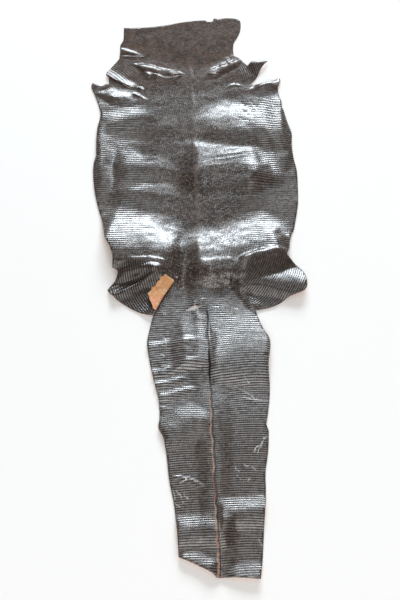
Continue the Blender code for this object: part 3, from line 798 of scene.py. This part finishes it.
def keep_on_points(mesh, flat, rise, is_turned, outline):
    """Keep on the mesh's points what its scale rows and its materials read.

    These are the place on the flat cut with the rise of the turned flap, the place among the scales,
    the number of the scale row, how clear the rows are and how much they stand up, how much the rings
    of the legs stand out, the neck's duller skin, and the distance from the outline.
    """
    x, y = flat[:, 0], flat[:, 1]
    row = row_number(y - row_drift(x, y))
    across, along, clear = scale_places(x, y, row)
    on_legs = [leg_strength(x, y, leg) for leg in LEG_SCALES]
    rings = [leg.relief * share for leg, share in zip(LEG_SCALES, on_legs)]
    relief = smooth_ramp(y, *ROW_RELIEF)
    for tight in TIGHT_ROWS:
        relief = relief + tight.height * fold_share(x, y, tight)
    store(mesh, "flat", np.stack((x, y, rise), axis=-1))
    store(mesh, "scales", np.stack((across, along, np.zeros_like(x)), axis=-1))
    store(mesh, "row", row)
    store(mesh, "clear_rows", clear)
    store(mesh, "row_relief", row_strength(x, y) * (1.0 - np.max(on_legs, axis=0)) * ~is_turned * relief)
    store(mesh, "leg_rings", np.max(rings, axis=0))
    store(mesh, "neck", smooth_ramp(y, *NECK_SKIN))
    store(mesh, "edge", edge_distance(flat, outline))


def raise_scale_rows(mesh, height):
    """Raise the crown of each scale row on the grain side, and keep the grooves between rows sharp."""
    grain = np.zeros(len(mesh.vertices), dtype=bool)
    for face in mesh.polygons:
        if face.material_index == GRAIN:
            grain[list(face.vertices)] = True
    row = read(mesh, "row")
    relief = read(mesh, "row_relief") * grain
    crown = 1.0 - np.abs(2.0 * (row - np.floor(row)) - 1.0)
    places = np.empty(len(mesh.vertices) * 3, dtype=np.float32)
    normals = np.empty_like(places)
    mesh.vertices.foreach_get("co", places)
    mesh.vertices.foreach_get("normal", normals)
    moved = places.reshape(-1, 3) + normals.reshape(-1, 3) * (height * relief * crown)[:, None]
    mesh.vertices.foreach_set("co", moved.ravel().astype(np.float32))
    in_groove = (np.abs(row - np.round(row)) < GROOVE_TOLERANCE) & (relief > CLEAR_ROWS)
    for edge in mesh.edges:
        if in_groove[edge.vertices[0]] and in_groove[edge.vertices[1]]:
            edge.use_edge_sharp = True
    mesh.update()


# Materials.

NodeGroups = namedtuple("NodeGroups", "lattice mottling mark")
Skin = namedtuple("Skin", "flat x y clear_rows neck leg_rings patches")
Scales = namedtuple("Scales", "height tone crest groove glazed")
WearAndShade = namedtuple("WearAndShade", "crack redness slot scuffs creases cracked")
Layer = namedtuple("Layer", "mask strength colour")


def put(tree, kind, inputs=(), **settings):
    """Add a node with some settings, and set or link its inputs, given by name or by number."""
    node = tree.nodes.new(kind)
    for name, value in settings.items():
        setattr(node, name, value)
    for key, value in dict(inputs).items():
        if isinstance(value, bpy.types.NodeSocket):
            tree.links.new(value, node.inputs[key])
        else:
            node.inputs[key].default_value = value
    return node


def maths(tree, operation, *values, clamp=False):
    """The result of a Math node."""
    node = put(tree, "ShaderNodeMath", enumerate(values), operation=operation, use_clamp=clamp)
    return node.outputs[0]


def times(tree, first, *others):
    """The product of some numbers."""
    for value in others:
        first = maths(tree, "MULTIPLY", first, value)
    return first


def most(tree, first, *others):
    """The largest of some numbers."""
    for value in others:
        first = maths(tree, "MAXIMUM", first, value)
    return first


def vectors(tree, operation, *values):
    """The result of a Vector Math node, a vector or a number as the operation has it."""
    node = put(tree, "ShaderNodeVectorMath", enumerate(values), operation=operation)
    return node.outputs["Value" if operation in {"DOT_PRODUCT", "DISTANCE"} else "Vector"]


def ramp(tree, value, start, end, before=0.0, after=1.0):
    """A number that goes smoothly from before to after, as another goes from start to end."""
    sockets = {"Value": value, "From Min": start, "From Max": end, "To Min": before, "To Max": after}
    return put(tree, "ShaderNodeMapRange", sockets, interpolation_type="SMOOTHSTEP").outputs[0]


def blend(tree, share, first, second):
    """A colour between two others."""
    # The Mix node's sockets for colours and for numbers share their names, so they go by number.
    return put(tree, "ShaderNodeMix", {0: share, 6: first, 7: second}, data_type="RGBA").outputs[2]


def between(tree, share, first, second):
    """A number between two others."""
    return put(tree, "ShaderNodeMix", {0: share, 2: first, 3: second}, data_type="FLOAT").outputs[0]


def paint(tree, colour, layers):
    """A colour with layers of other colours over it, each where its mask is, and as strong as given."""
    for layer in layers:
        colour = blend(tree, times(tree, layer.mask, layer.strength), colour, layer.colour)
    return colour


def kept(tree, name, vector=False):
    """A value that the mesh keeps on its points."""
    node = put(tree, "ShaderNodeAttribute", attribute_name=name, attribute_type="GEOMETRY")
    return node.outputs["Vector" if vector else "Fac"]


def scaled(tree, place, scale, turn=0.0, kind="POINT"):
    """A place scaled across and along, and turned. The kind TEXTURE divides by the scale instead."""
    sockets = {"Vector": place, "Rotation": (0.0, 0.0, turn), "Scale": (*scale, 1.0)}
    return put(tree, "ShaderNodeMapping", sockets, vector_type=kind).outputs[0]


def new_group(name, inputs, outputs):
    """An empty shader node group with its sockets, and its input and output nodes."""
    group = bpy.data.node_groups.new(name, "ShaderNodeTree")
    for label, kind in inputs:
        group.interface.new_socket(label, in_out="INPUT", socket_type=kind)
    for label, kind in outputs:
        group.interface.new_socket(label, in_out="OUTPUT", socket_type=kind)
    return group, group.nodes.new("NodeGroupInput"), group.nodes.new("NodeGroupOutput")


def scale_lattice_group():
    """Scales in a lattice: how high the skin stands on each, with narrow grooves between them."""
    group, given, gives = new_group(
        "Scale lattice",
        (("Place", "NodeSocketVector"), ("Unevenness", "NodeSocketFloat"), ("Groove", "NodeSocketFloat"),
         ("Lean", "NodeSocketFloat")),
        (("Height", "NodeSocketFloat"), ("Crown", "NodeSocketFloat"), ("Tone", "NodeSocketFloat")),
    )
    cells = {"Vector": given.outputs["Place"], "Scale": 1.0, "Randomness": given.outputs["Unevenness"]}
    gap = put(group, "ShaderNodeTexVoronoi", cells, voronoi_dimensions="2D", feature="DISTANCE_TO_EDGE")
    cell = put(group, "ShaderNodeTexVoronoi", cells, voronoi_dimensions="2D", feature="F1")
    # Each scale leans its own way a little, so that it catches the light or not.
    away = vectors(group, "SUBTRACT", given.outputs["Place"], cell.outputs["Position"])
    its_way = vectors(group, "SUBTRACT", cell.outputs["Color"], (0.5, 0.5, 0.5))
    leaning = vectors(group, "DOT_PRODUCT", away, its_way)
    crown = ramp(group, gap.outputs["Distance"], 0.0, given.outputs["Groove"])
    height = maths(group, "MULTIPLY_ADD", leaning, given.outputs["Lean"], crown)
    tone = put(group, "ShaderNodeSeparateColor", {0: cell.outputs["Color"]}).outputs[0]
    group.links.new(height, gives.inputs["Height"])
    group.links.new(crown, gives.inputs["Crown"])
    group.links.new(tone, gives.inputs["Tone"])
    return group


def mottling_group():
    """Soft patches of a size in the units of the place that it is given."""
    group, given, gives = new_group(
        "Mottling",
        (("Place", "NodeSocketVector"), ("Size", "NodeSocketFloat"), ("Detail", "NodeSocketFloat")),
        (("Share", "NodeSocketFloat"),),
    )
    fineness = maths(group, "DIVIDE", 1.0, given.outputs["Size"])
    sockets = {"Vector": given.outputs["Place"], "Scale": fineness, "Detail": given.outputs["Detail"]}
    patches = put(group, "ShaderNodeTexNoise", sockets, noise_dimensions="3D")
    group.links.new(ramp(group, patches.outputs[0], 0.3, 0.7), gives.inputs["Share"])
    return group


def mark_group():
    """A soft line between two points of the flat hide, out to its width on either side."""
    group, given, gives = new_group(
        "Mark",
        (("Place", "NodeSocketVector"), ("Start", "NodeSocketVector"), ("End", "NodeSocketVector"),
         ("Width", "NodeSocketFloat")),
        (("Mask", "NodeSocketFloat"),),
    )
    run = vectors(group, "SUBTRACT", given.outputs["End"], given.outputs["Start"])
    away = vectors(group, "SUBTRACT", given.outputs["Place"], given.outputs["Start"])
    dot = vectors(group, "DOT_PRODUCT", away, run)
    share = maths(group, "DIVIDE", dot, vectors(group, "DOT_PRODUCT", run, run), clamp=True)
    along = put(group, "ShaderNodeVectorMath", {0: run, "Scale": share}, operation="SCALE").outputs["Vector"]
    distance = vectors(group, "DISTANCE", away, along)
    core = times(group, given.outputs["Width"], 0.4)
    group.links.new(ramp(group, distance, core, given.outputs["Width"], 1.0, 0.0), gives.inputs["Mask"])
    return group


def use_group(tree, group, **inputs):
    """Place a node group, with its inputs given by name."""
    named = {name.capitalize(): value for name, value in inputs.items()}
    return put(tree, "ShaderNodeGroup", named, node_tree=group)


def mottled(tree, groups, place, size, detail):
    """Soft patches of a size on a place."""
    return use_group(tree, groups.mottling, place=place, size=size, detail=detail).outputs[0]


def marked(tree, groups, place, marks):
    """How clearly each place lies on one of some marks."""
    found = 0.0
    for mark in marks:
        line = use_group(tree, groups.mark, place=place, start=(*mark.start, 0.0), end=(*mark.end, 0.0),
                         width=mark.width)
        found = most(tree, found, times(tree, line.outputs[0], mark.strength))
    return found


def new_material(name, roughness):
    """A material, with its node tree and its Principled shader."""
    material = bpy.data.materials.new(name)
    material.use_nodes = True
    shader = material.node_tree.nodes["Principled BSDF"]
    shader.inputs["Roughness"].default_value = roughness
    return material, material.node_tree, shader


def grain_skin(tree, groups):
    """What the mesh keeps of the grain side, with the small patches that its wear and gloss share."""
    flat = kept(tree, "flat", vector=True)
    split = put(tree, "ShaderNodeSeparateXYZ", {0: flat})
    return Skin(
        flat=flat,
        x=split.outputs[0],
        y=split.outputs[1],
        clear_rows=kept(tree, "clear_rows"),
        neck=kept(tree, "neck"),
        leg_rings=kept(tree, "leg_rings"),
        patches=mottled(tree, groups, flat, 7.0, 4.0),
    )


def grain_scales(tree, groups, skin):
    """Scales: cross rows on the tail and flanks, rings on the legs, small ones askew on the back."""
    place = kept(tree, "scales", vector=True)
    in_rows = use_group(tree, groups.lattice, place=place, unevenness=0.35, groove=0.2, lean=ROW_LEAN)
    finer = [1.0 / size for size in BACK_SCALE_SIZE]
    on_back = use_group(
        tree, groups.lattice, place=scaled(tree, skin.flat, finer, BACK_SCALES_ASKEW), unevenness=0.7,
        groove=0.26, lean=ramp(tree, skin.y, *BACK_LEAN),
    )
    row = put(tree, "ShaderNodeSeparateXYZ", {0: place}).outputs[1]
    crown = maths(tree, "MULTIPLY_ADD", maths(tree, "COSINE", times(tree, row, math.tau)), -0.5, 0.5)

    # The mesh itself carries the rows of the tail and flanks, but not the finer rings of the legs.
    rings = times(tree, crown, skin.leg_rings, RING_GROOVES)
    row_height = maths(tree, "MULTIPLY_ADD", in_rows.outputs["Height"], ROW_GROOVES, rings)
    back_height = times(tree, on_back.outputs["Height"], between(tree, skin.neck, BACK_GROOVES, NECK_GROOVES))
    tone = between(tree, skin.clear_rows, on_back.outputs["Tone"], in_rows.outputs["Tone"])
    crest = times(tree, ramp(tree, crown, 0.25, 0.8), between(tree, in_rows.outputs["Crown"], 0.3, 1.05))

    # The glaze lies on the crowns of single scales. A row's glaze reaches down its sides, almost to
    # the grooves, and less far on the legs.
    back_glaze = times(tree, on_back.outputs["Crown"], ramp(tree, tone, 0.05, 0.6, 0.25, 1.15))
    side_start = between(tree, skin.leg_rings, 0.04, 0.29)
    side_end = between(tree, skin.leg_rings, 0.3, 0.8)
    row_glaze = times(tree, ramp(tree, crown, side_start, side_end),
                      between(tree, in_rows.outputs["Crown"], 0.75, 1.0),
                      ramp(tree, tone, 0.0, 0.5, 0.92, 1.05))
    back_groove = maths(tree, "SUBTRACT", 1.0, on_back.outputs["Crown"])
    return Scales(
        height=between(tree, skin.clear_rows, back_height, row_height),
        tone=tone,
        crest=crest,
        groove=between(tree, skin.clear_rows, back_groove, ramp(tree, crest, 0.0, 0.5, 1.0, 0.0)),
        glazed=between(tree, skin.clear_rows, back_glaze, row_glaze),
    )


def distance_from(tree, value, place):
    """How far a value is from a place, on either side of it."""
    return maths(tree, "ABSOLUTE", maths(tree, "SUBTRACT", value, place))


def grain_wear_and_shade(tree, groups, skin):
    """The worn crack, painted shade in the tail's groove and in tight creases, scuffs and cracked pleats."""
    place_along = put(tree, "ShaderNodeCombineXYZ", {1: skin.y}).outputs[0]
    bend = between(tree, mottled(tree, groups, place_along, 24.0, 2.0), -CRACK_BEND, CRACK_BEND)
    line = maths(tree, "SUBTRACT", skin.x, bend)
    reach = times(tree, ramp(tree, skin.y, *CRACK_REACH), ramp(tree, skin.patches, 0.0, 1.0, 0.5, 1.3))
    crack = times(tree, maths(tree, "LESS_THAN", distance_from(tree, line, CRACK_ASIDE), reach),
                  ramp(tree, skin.y, *CRACK_UP_TO), ramp(tree, skin.patches, 0.1, 0.5, 0.55, 1.0))
    second = times(tree, maths(tree, "LESS_THAN", distance_from(tree, line, SECOND_ASIDE), SECOND_REACH),
                   ramp(tree, skin.y, *SECOND_UP_TO), ramp(tree, skin.patches, 0.3, 0.7))
    slot = times(tree, ramp(tree, distance_from(tree, line, SLOT_ASIDE), *SLOT_SIDES),
                 ramp(tree, skin.y, *SLOT_UP_TO), ramp(tree, skin.y, *SLOT_STRENGTH))

    # Scuffs and creases wander off a straight line a little.
    shake = put(tree, "ShaderNodeTexNoise", {"Vector": skin.flat, "Scale": 0.16, "Detail": 2.0})
    both_ways = (2.0 * MARK_WANDER, 2.0 * MARK_WANDER, 0.0)
    shaken = vectors(tree, "MULTIPLY_ADD", shake.outputs["Color"], both_ways, skin.flat)
    shaken = vectors(tree, "SUBTRACT", shaken, (MARK_WANDER, MARK_WANDER, 0.0))
    scuffs = times(tree, marked(tree, groups, shaken, SCUFFS), ramp(tree, skin.patches, 0.2, 0.6, 0.5, 1.0))

    # The streaks slant away from the spine on either side of it.
    mirrored = put(tree, "ShaderNodeCombineXYZ", {0: maths(tree, "ABSOLUTE", skin.x), 1: skin.y}).outputs[0]
    streaks = mottled(tree, groups, scaled(tree, mirrored, STREAK_SIZE, STREAK_SLANT, "TEXTURE"), 1.0, 2.0)
    near_pleats = marked(tree, groups, skin.flat, CRACKED_PLEATS)
    return WearAndShade(
        crack=most(tree, crack, second),
        redness=times(tree, ramp(tree, skin.y, *RED_FROM), ramp(tree, skin.y, *RED_UP_TO)),
        slot=slot,
        scuffs=scuffs,
        creases=marked(tree, groups, shaken, CREASES),
        cracked=times(tree, near_pleats, ramp(tree, streaks, 0.4, 0.75, 1.0, 0.0)),
    )


def grain_colour(tree, groups, colours, skin, scales, wear):
    """The grain side's colour: mottled browns, with wear, painted shade and painted highlights on top."""
    stains = mottled(tree, groups, skin.flat, 19.0, 4.0)
    grainy = mottled(tree, groups, scaled(tree, skin.flat, (0.6, 1.0)), 3.2, 2.0)
    browns = blend(tree, mottled(tree, groups, skin.flat, 46.0, 3.0), colours.grain_dark, colours.grain_brown)
    browns = paint(tree, browns, (
        Layer(skin.neck, 0.75, colours.neck),
        Layer(times(tree, ramp(tree, stains, 0.3, 1.0), skin.neck), 0.7, colours.grain_dark),
        Layer(times(tree, grainy, skin.neck), 0.35, colours.groove),
        Layer(times(tree, scales.tone, scales.tone), between(tree, skin.neck, 0.75, 0.35), colours.crown),
    ))

    # The crowns of the rows are painted paler, a painted highlight, on the tail and most at its root.
    # Their colour changes along each row.
    at_root = times(tree, ramp(tree, skin.y, *PALE_ROOT_FROM), ramp(tree, skin.y, *PALE_ROOT_UP_TO))
    on_tail = times(tree, ramp(tree, skin.y, *PALE_TAIL), between(tree, skin.leg_rings, 1.0, 0.1))
    dashes = mottled(tree, groups, scaled(tree, skin.flat, (1 / 11.0, 1 / 3.4)), 1.0, 2.0)
    pale = times(tree, maths(tree, "MULTIPLY_ADD", at_root, PALE_ROOT_GAIN, on_tail),
                 ramp(tree, dashes, 0.1, 0.9, 0.3, 1.6))
    crowns = blend(tree, at_root, colours.crown, colours.crown_highlight)

    # Grooves show less on the neck and on the legs.
    faint = most(tree, times(tree, skin.neck, 0.5), times(tree, skin.leg_rings, 0.45))
    # A painted sheen along the spine, in the crown colour.
    from_spine = distance_from(tree, skin.x, SPINE_SHEEN_ASIDE)
    spine = times(tree, ramp(tree, from_spine, *SPINE_SHEEN_SIDES), ramp(tree, skin.y, *SPINE_SHEEN_UP_TO),
                  ramp(tree, skin.y, *SPINE_SHEEN_FROM), ramp(tree, skin.patches, 0.0, 0.8, 0.35, 1.0))
    worn = blend(tree, times(tree, wear.redness, 0.8), colours.worn, colours.worn_red)
    return paint(tree, browns, (
        # A painted highlight on the crowns of the rows.
        Layer(times(tree, scales.crest, skin.clear_rows), pale, crowns),
        Layer(skin.leg_rings, 0.7, colours.grain_dark),
        Layer(scales.groove, maths(tree, "SUBTRACT", 0.85, faint), colours.groove),
        Layer(spine, 0.35, colours.crown),
        # Painted shade in the tail's groove.
        Layer(wear.slot, 0.92, colours.groove),
        Layer(wear.crack, 0.85, worn),
        # Painted shade in tight creases.
        Layer(wear.creases, 0.7, colours.groove),
        Layer(wear.scuffs, 1.0, colours.scuff),
        Layer(ramp(tree, kept(tree, "edge"), 1.6, 0.2), 0.5, colours.cut_edge),
    ))


def grain_glaze(tree, skin, scales, wear):
    """How much glaze there is: less on the neck and the legs, and none where it is worn or too deep."""
    bare = most(tree, wear.crack, wear.scuffs, wear.slot, wear.creases)
    glaze = times(
        tree, scales.glazed, between(tree, skin.neck, 1.0, 0.3), between(tree, skin.leg_rings, 1.0, 0.65),
        maths(tree, "SUBTRACT", 1.0, wear.cracked), ramp(tree, skin.patches, 0.0, 1.0, 0.6, 1.2),
    )
    return maths(tree, "MULTIPLY", glaze, maths(tree, "SUBTRACT", 1.0, bare), clamp=True)


def grain_roughness(tree, skin, wear):
    """How dull the grain side is."""
    rough = between(tree, skin.patches, *LEATHER_ROUGHNESS)
    worn = most(tree, wear.crack, wear.scuffs)
    for mask, duller in ((wear.slot, SLOT_DULLS), (wear.cracked, CRACKS_DULL), (worn, WEAR_DULLS)):
        rough = maths(tree, "MULTIPLY_ADD", mask, duller, rough)
    return rough


def grain_material(colours, sizes, groups):
    """The glazed grain side: scales, mottled browns, a crack down the tail, scuffs and creases."""
    material, tree, shader = new_material("hide_grain", roughness=LEATHER_ROUGHNESS[0])
    skin = grain_skin(tree, groups)
    scales = grain_scales(tree, groups, skin)
    wear = grain_wear_and_shade(tree, groups, skin)
    tree.links.new(grain_colour(tree, groups, colours, skin, scales, wear), shader.inputs["Base Color"])
    tree.links.new(grain_roughness(tree, skin, wear), shader.inputs["Roughness"])
    shader.inputs["IOR"].default_value = LEATHER_IOR
    tree.links.new(grain_glaze(tree, skin, scales, wear), shader.inputs["Coat Weight"])
    shader.inputs["Coat IOR"].default_value = GLAZE_IOR
    shader.inputs["Coat Roughness"].default_value = GLAZE_ROUGHNESS

    pores = put(tree, "ShaderNodeTexNoise", {"Vector": skin.flat, "Scale": 1.6, "Detail": 3.0}).outputs[0]
    pores = times(tree, pores, between(tree, skin.neck, 1.0, 0.2))
    raised = put(
        tree, "ShaderNodeBump", {"Strength": 1.0, "Distance": sizes.scale_relief, "Height": scales.height}
    ).outputs[0]
    porous = {"Strength": 0.5, "Distance": PORE_DEPTH, "Height": pores, "Normal": raised}
    tree.links.new(put(tree, "ShaderNodeBump", porous).outputs[0], shader.inputs["Normal"])
    return material


def flesh_material(colours, groups):
    """The flesh side: tan suede, with a pinker patch on the lower half of the turned flap."""
    material, tree, shader = new_material("hide_flesh", roughness=0.85)
    flat = kept(tree, "flat", vector=True)
    y = put(tree, "ShaderNodeSeparateXYZ", {0: flat}).outputs[1]
    tan = blend(tree, ramp(tree, y, *PINK_BELOW), colours.flesh, colours.flesh_pink)
    # Painted highlights, in pale patches, on the flesh side.
    pale_highlights = ramp(tree, mottled(tree, groups, flat, 4.5, 3.0), 0.5, 1.0)
    colour = paint(tree, tan, (
        Layer(mottled(tree, groups, flat, 9.0, 4.0), 0.45, colours.flesh_deep),
        Layer(pale_highlights, 0.6, colours.flesh_highlight),
    ))
    tree.links.new(colour, shader.inputs["Base Color"])
    nap = mottled(tree, groups, scaled(tree, flat, (1.0, NAP_STRETCH)), 0.9, 3.0)
    napped = put(tree, "ShaderNodeBump", {"Strength": 0.6, "Distance": NAP_DEPTH, "Height": nap})
    tree.links.new(napped.outputs[0], shader.inputs["Normal"])
    return material


def edge_material(colours, groups):
    """The cut edge: raw leather between the glaze and the flesh."""
    material, tree, shader = new_material("hide_cut_edge", roughness=0.75)
    patches = mottled(tree, groups, kept(tree, "flat", vector=True), 4.0, 3.0)
    tree.links.new(blend(tree, patches, colours.cut_edge, colours.grain_brown), shader.inputs["Base Color"])
    return material


# The add-on: sizes and colours that a user may change, an operator for the hide and one for the stage.


def length(name, description, default, **limits):
    """A length in metres."""
    return FloatProperty(
        name=name, description=description, default=default, unit="LENGTH", precision=5, **limits
    )


def power(name, description, default):
    """A light's power in watts."""
    return FloatProperty(name=name, description=description, default=default, unit="POWER", min=0.0)


def tint(name, description, default):
    """A colour."""
    return FloatVectorProperty(
        name=name, description=description, default=(*default, 1.0), size=4, subtype="COLOR", min=0.0, max=1.0
    )


class HideSizes(bpy.types.PropertyGroup):
    """Sizes of the leather."""

    thickness: length("Thickness", "Thickness of the leather", 0.0015, min=0.0005)
    turn_radius: length("Turned radius", "Radius of the turn at the flap turned back on the hind leg", 0.0021)
    row_height: length("Row height", "How far the crown of a scale row stands above its grooves", 0.00028)
    scale_relief: length("Scale relief", "Depth of the grooves between single scales", 0.0002)


class HideColours(bpy.types.PropertyGroup):
    """Colours of the leather."""

    grain_dark: tint("Grain, dark", "The darker glazed brown", (0.029, 0.017, 0.0115))
    grain_brown: tint("Grain, brown", "The lighter glazed brown", (0.068, 0.043, 0.031))
    crown: tint("Scale crown", "Glaze on the crown of single scales", (0.19, 0.155, 0.135))
    # A painted highlight on the crowns of the rows at the tail's root.
    crown_highlight: tint("Scale crown, pale", "Glaze on the rows at the root of the tail", (0.32, 0.31, 0.31))
    groove: tint("Groove", "The skin between scales", (0.006, 0.0045, 0.0035))
    neck: tint("Neck", "The dull brown of the neck", (0.12, 0.070, 0.048))
    worn: tint("Worn", "Tan leather where the glaze has worn off", (0.37, 0.235, 0.175))
    worn_red: tint("Worn, reddish", "The reddish stretch of the worn line", (0.24, 0.065, 0.045))
    scuff: tint("Scuff", "Pale scuff marks", (0.85, 0.82, 0.78))
    flesh: tint("Flesh side", "Tan suede of the flesh side", (0.72, 0.36, 0.15))
    flesh_pink: tint("Flesh side, pink", "The pinker end of the turned flap", (0.76, 0.34, 0.18))
    flesh_deep: tint("Flesh side, deep", "Deeper patches of the flesh side", (0.55, 0.24, 0.10))
    # Painted highlights, in pale patches, on the flesh side.
    flesh_highlight: tint("Flesh side, pale", "Dry, pale patches of the flesh side", (0.82, 0.60, 0.44))
    cut_edge: tint("Cut edge", "The raw cut edge", (0.16, 0.11, 0.085))


class StageSettings(bpy.types.PropertyGroup):
    """The floor, the lights and the camera."""

    floor: tint("Floor", "Colour of the floor", (0.97, 0.95, 0.93))
    window_power: power("Window", "Power of the light behind", 300.0)
    window_height: FloatProperty(
        name="Window height", description="How high the light behind stands above the horizon",
        default=math.radians(22), unit="ROTATION",
    )
    top_power: power("Top light", "Power of the light above", 6.5)
    front_power: power("Front light", "Power of the light in front", 99.0)
    sky: FloatProperty(name="Sky", description="Strength of the light from all round", default=0.2)
    camera_place: FloatVectorProperty(
        name="Camera place", description="Where the camera stands", default=(-0.0292, -0.7719, 1.234),
        unit="LENGTH",
    )
    camera_tilt: FloatProperty(
        name="Camera tilt", description="The camera's angle off straight down", default=math.radians(29.4),
        unit="ROTATION",
    )
    camera_turn: FloatProperty(
        name="Camera turn", description="How far the camera turns from the head towards the right",
        default=math.radians(2.45), unit="ROTATION",
    )
    lens: FloatProperty(name="Lens", description="Focal length", default=58.26, unit="CAMERA")


class HIDE_OT_make_leather(bpy.types.Operator):
    """Make the hide: cut, fold, thicken and finish the sheet of leather"""

    bl_idname = "hide.make_leather"
    bl_label = "Make the leather"

    def execute(self, context):
        sizes = context.scene.hide_sizes
        colours = context.scene.hide_colours
        groups = NodeGroups(scale_lattice_group(), mottling_group(), mark_group())
        leather = bpy.data.objects.new("hide_leather", folded_mesh(sizes))
        context.scene.collection.objects.link(leather)
        leather.data.materials.append(grain_material(colours, sizes, groups))
        leather.data.materials.append(flesh_material(colours, groups))
        leather.data.materials.append(edge_material(colours, groups))
        thicken(leather, sizes.thickness)
        raise_scale_rows(leather.data, sizes.row_height)
        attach(leather, "root")
        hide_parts(NODE)
        return {"FINISHED"}


def thicken(leather, thickness):
    """Give the sheet its thickness, its flesh side and its cut edge."""
    walls = leather.modifiers.new("Thickness", "SOLIDIFY")
    walls.thickness = thickness
    walls.offset = 0.0
    walls.material_offset = FLESH
    walls.material_offset_rim = CUT_EDGE
    graph = bpy.context.evaluated_depsgraph_get()
    thick = bpy.data.meshes.new_from_object(leather.evaluated_get(graph))
    thin = leather.data
    leather.modifiers.clear()
    leather.data = thick
    bpy.data.meshes.remove(thin)
    thick.name = "hide"
    thick.shade_smooth()


class HIDE_OT_make_stage(bpy.types.Operator):
    """Make the floor, the lights and the camera"""

    bl_idname = "hide.make_stage"
    bl_label = "Make the stage"

    def execute(self, context):
        stage = context.scene.hide_stage
        make_floor(context, stage)
        make_lights(context, stage)
        make_camera(context, stage)
        return {"FINISHED"}


def make_floor(context, stage):
    """A plain pale floor."""
    bm = bmesh.new()
    bmesh.ops.create_grid(bm, x_segments=1, y_segments=1, size=FLOOR_SIZE)
    bmesh.ops.translate(bm, verts=bm.verts, vec=(0.0, 0.0, -FLOOR_DROP))
    mesh = bpy.data.meshes.new("floor")
    bm.to_mesh(mesh)
    bm.free()
    material, _, shader = new_material("floor", roughness=0.9)
    shader.inputs["Base Color"].default_value = stage.floor
    mesh.materials.append(material)
    floor = bpy.data.objects.new("floor", mesh)
    context.scene.collection.objects.link(floor)


def add_area_light(context, name, power, colour, size, place):
    """A rectangular soft light that faces the hide."""
    light = bpy.data.lights.new(name, "AREA")
    light.energy = power
    light.color = colour
    light.shape = "RECTANGLE"
    light.size, light.size_y = size
    obj = bpy.data.objects.new(name, light)
    obj.location = place
    obj.rotation_euler = (-Vector(place)).to_track_quat("-Z", "Y").to_euler()
    context.scene.collection.objects.link(obj)


def make_lights(context, stage):
    """A window's light behind, soft ones above and in front, and a little light from all round."""
    back = WINDOW_DISTANCE * math.cos(stage.window_height)
    up = WINDOW_DISTANCE * math.sin(stage.window_height)
    aside = back * math.sin(WINDOW_ASIDE)
    add_area_light(context, "window", stage.window_power, DAYLIGHT, WINDOW_SIZE, (aside, back, up))
    add_area_light(context, "top light", stage.top_power, DAYLIGHT, TOP_SIZE, TOP_PLACE)
    add_area_light(context, "front light", stage.front_power, INDOOR_LIGHT, FRONT_SIZE, FRONT_PLACE)
    world = bpy.data.worlds.new("surroundings")
    world.use_nodes = True
    world.node_tree.nodes["Background"].inputs["Strength"].default_value = stage.sky
    world.node_tree.nodes["Background"].inputs["Color"].default_value = (1.0, 1.0, 1.0, 1.0)
    context.scene.world = world
    context.scene.view_settings.view_transform = "Standard"


def make_camera(context, stage):
    """The camera, which looks down on the hide from the tail's end."""
    camera = bpy.data.cameras.new("camera")
    camera.lens = stage.lens
    obj = bpy.data.objects.new("camera", camera)
    obj.location = stage.camera_place
    obj.rotation_euler = (stage.camera_tilt, 0.0, -stage.camera_turn)
    context.scene.collection.objects.link(obj)
    context.scene.camera = obj


class VIEW3D_PT_hide(bpy.types.Panel):
    """Lists what the hide is made from"""

    bl_label = "Lizard hide"
    bl_idname = "VIEW3D_PT_hide"
    bl_space_type = "VIEW_3D"
    bl_region_type = "UI"
    bl_category = "Hide"

    def draw(self, context):
        groups = (
            (context.scene.hide_sizes, HIDE_OT_make_leather),
            (context.scene.hide_colours, None),
            (context.scene.hide_stage, HIDE_OT_make_stage),
        )
        for settings, operator in groups:
            box = self.layout.box()
            for name in type(settings).__annotations__:
                box.prop(settings, name)
            if operator:
                box.operator(operator.bl_idname)


CLASSES = (HideSizes, HideColours, StageSettings, HIDE_OT_make_leather, HIDE_OT_make_stage, VIEW3D_PT_hide)


def register():
    """Register the add-on's classes and its settings."""
    for cls in CLASSES:
        bpy.utils.register_class(cls)
    bpy.types.Scene.hide_sizes = PointerProperty(type=HideSizes)
    bpy.types.Scene.hide_colours = PointerProperty(type=HideColours)
    bpy.types.Scene.hide_stage = PointerProperty(type=StageSettings)


def unregister():
    """Take them away again."""
    del bpy.types.Scene.hide_stage
    del bpy.types.Scene.hide_colours
    del bpy.types.Scene.hide_sizes
    for cls in reversed(CLASSES):
        bpy.utils.unregister_class(cls)


def main():
    """Make the hide and the stage."""
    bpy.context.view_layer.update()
    register()
    bpy.ops.hide.make_leather()
    bpy.ops.hide.make_stage()


if __name__ == "__main__":
    main()
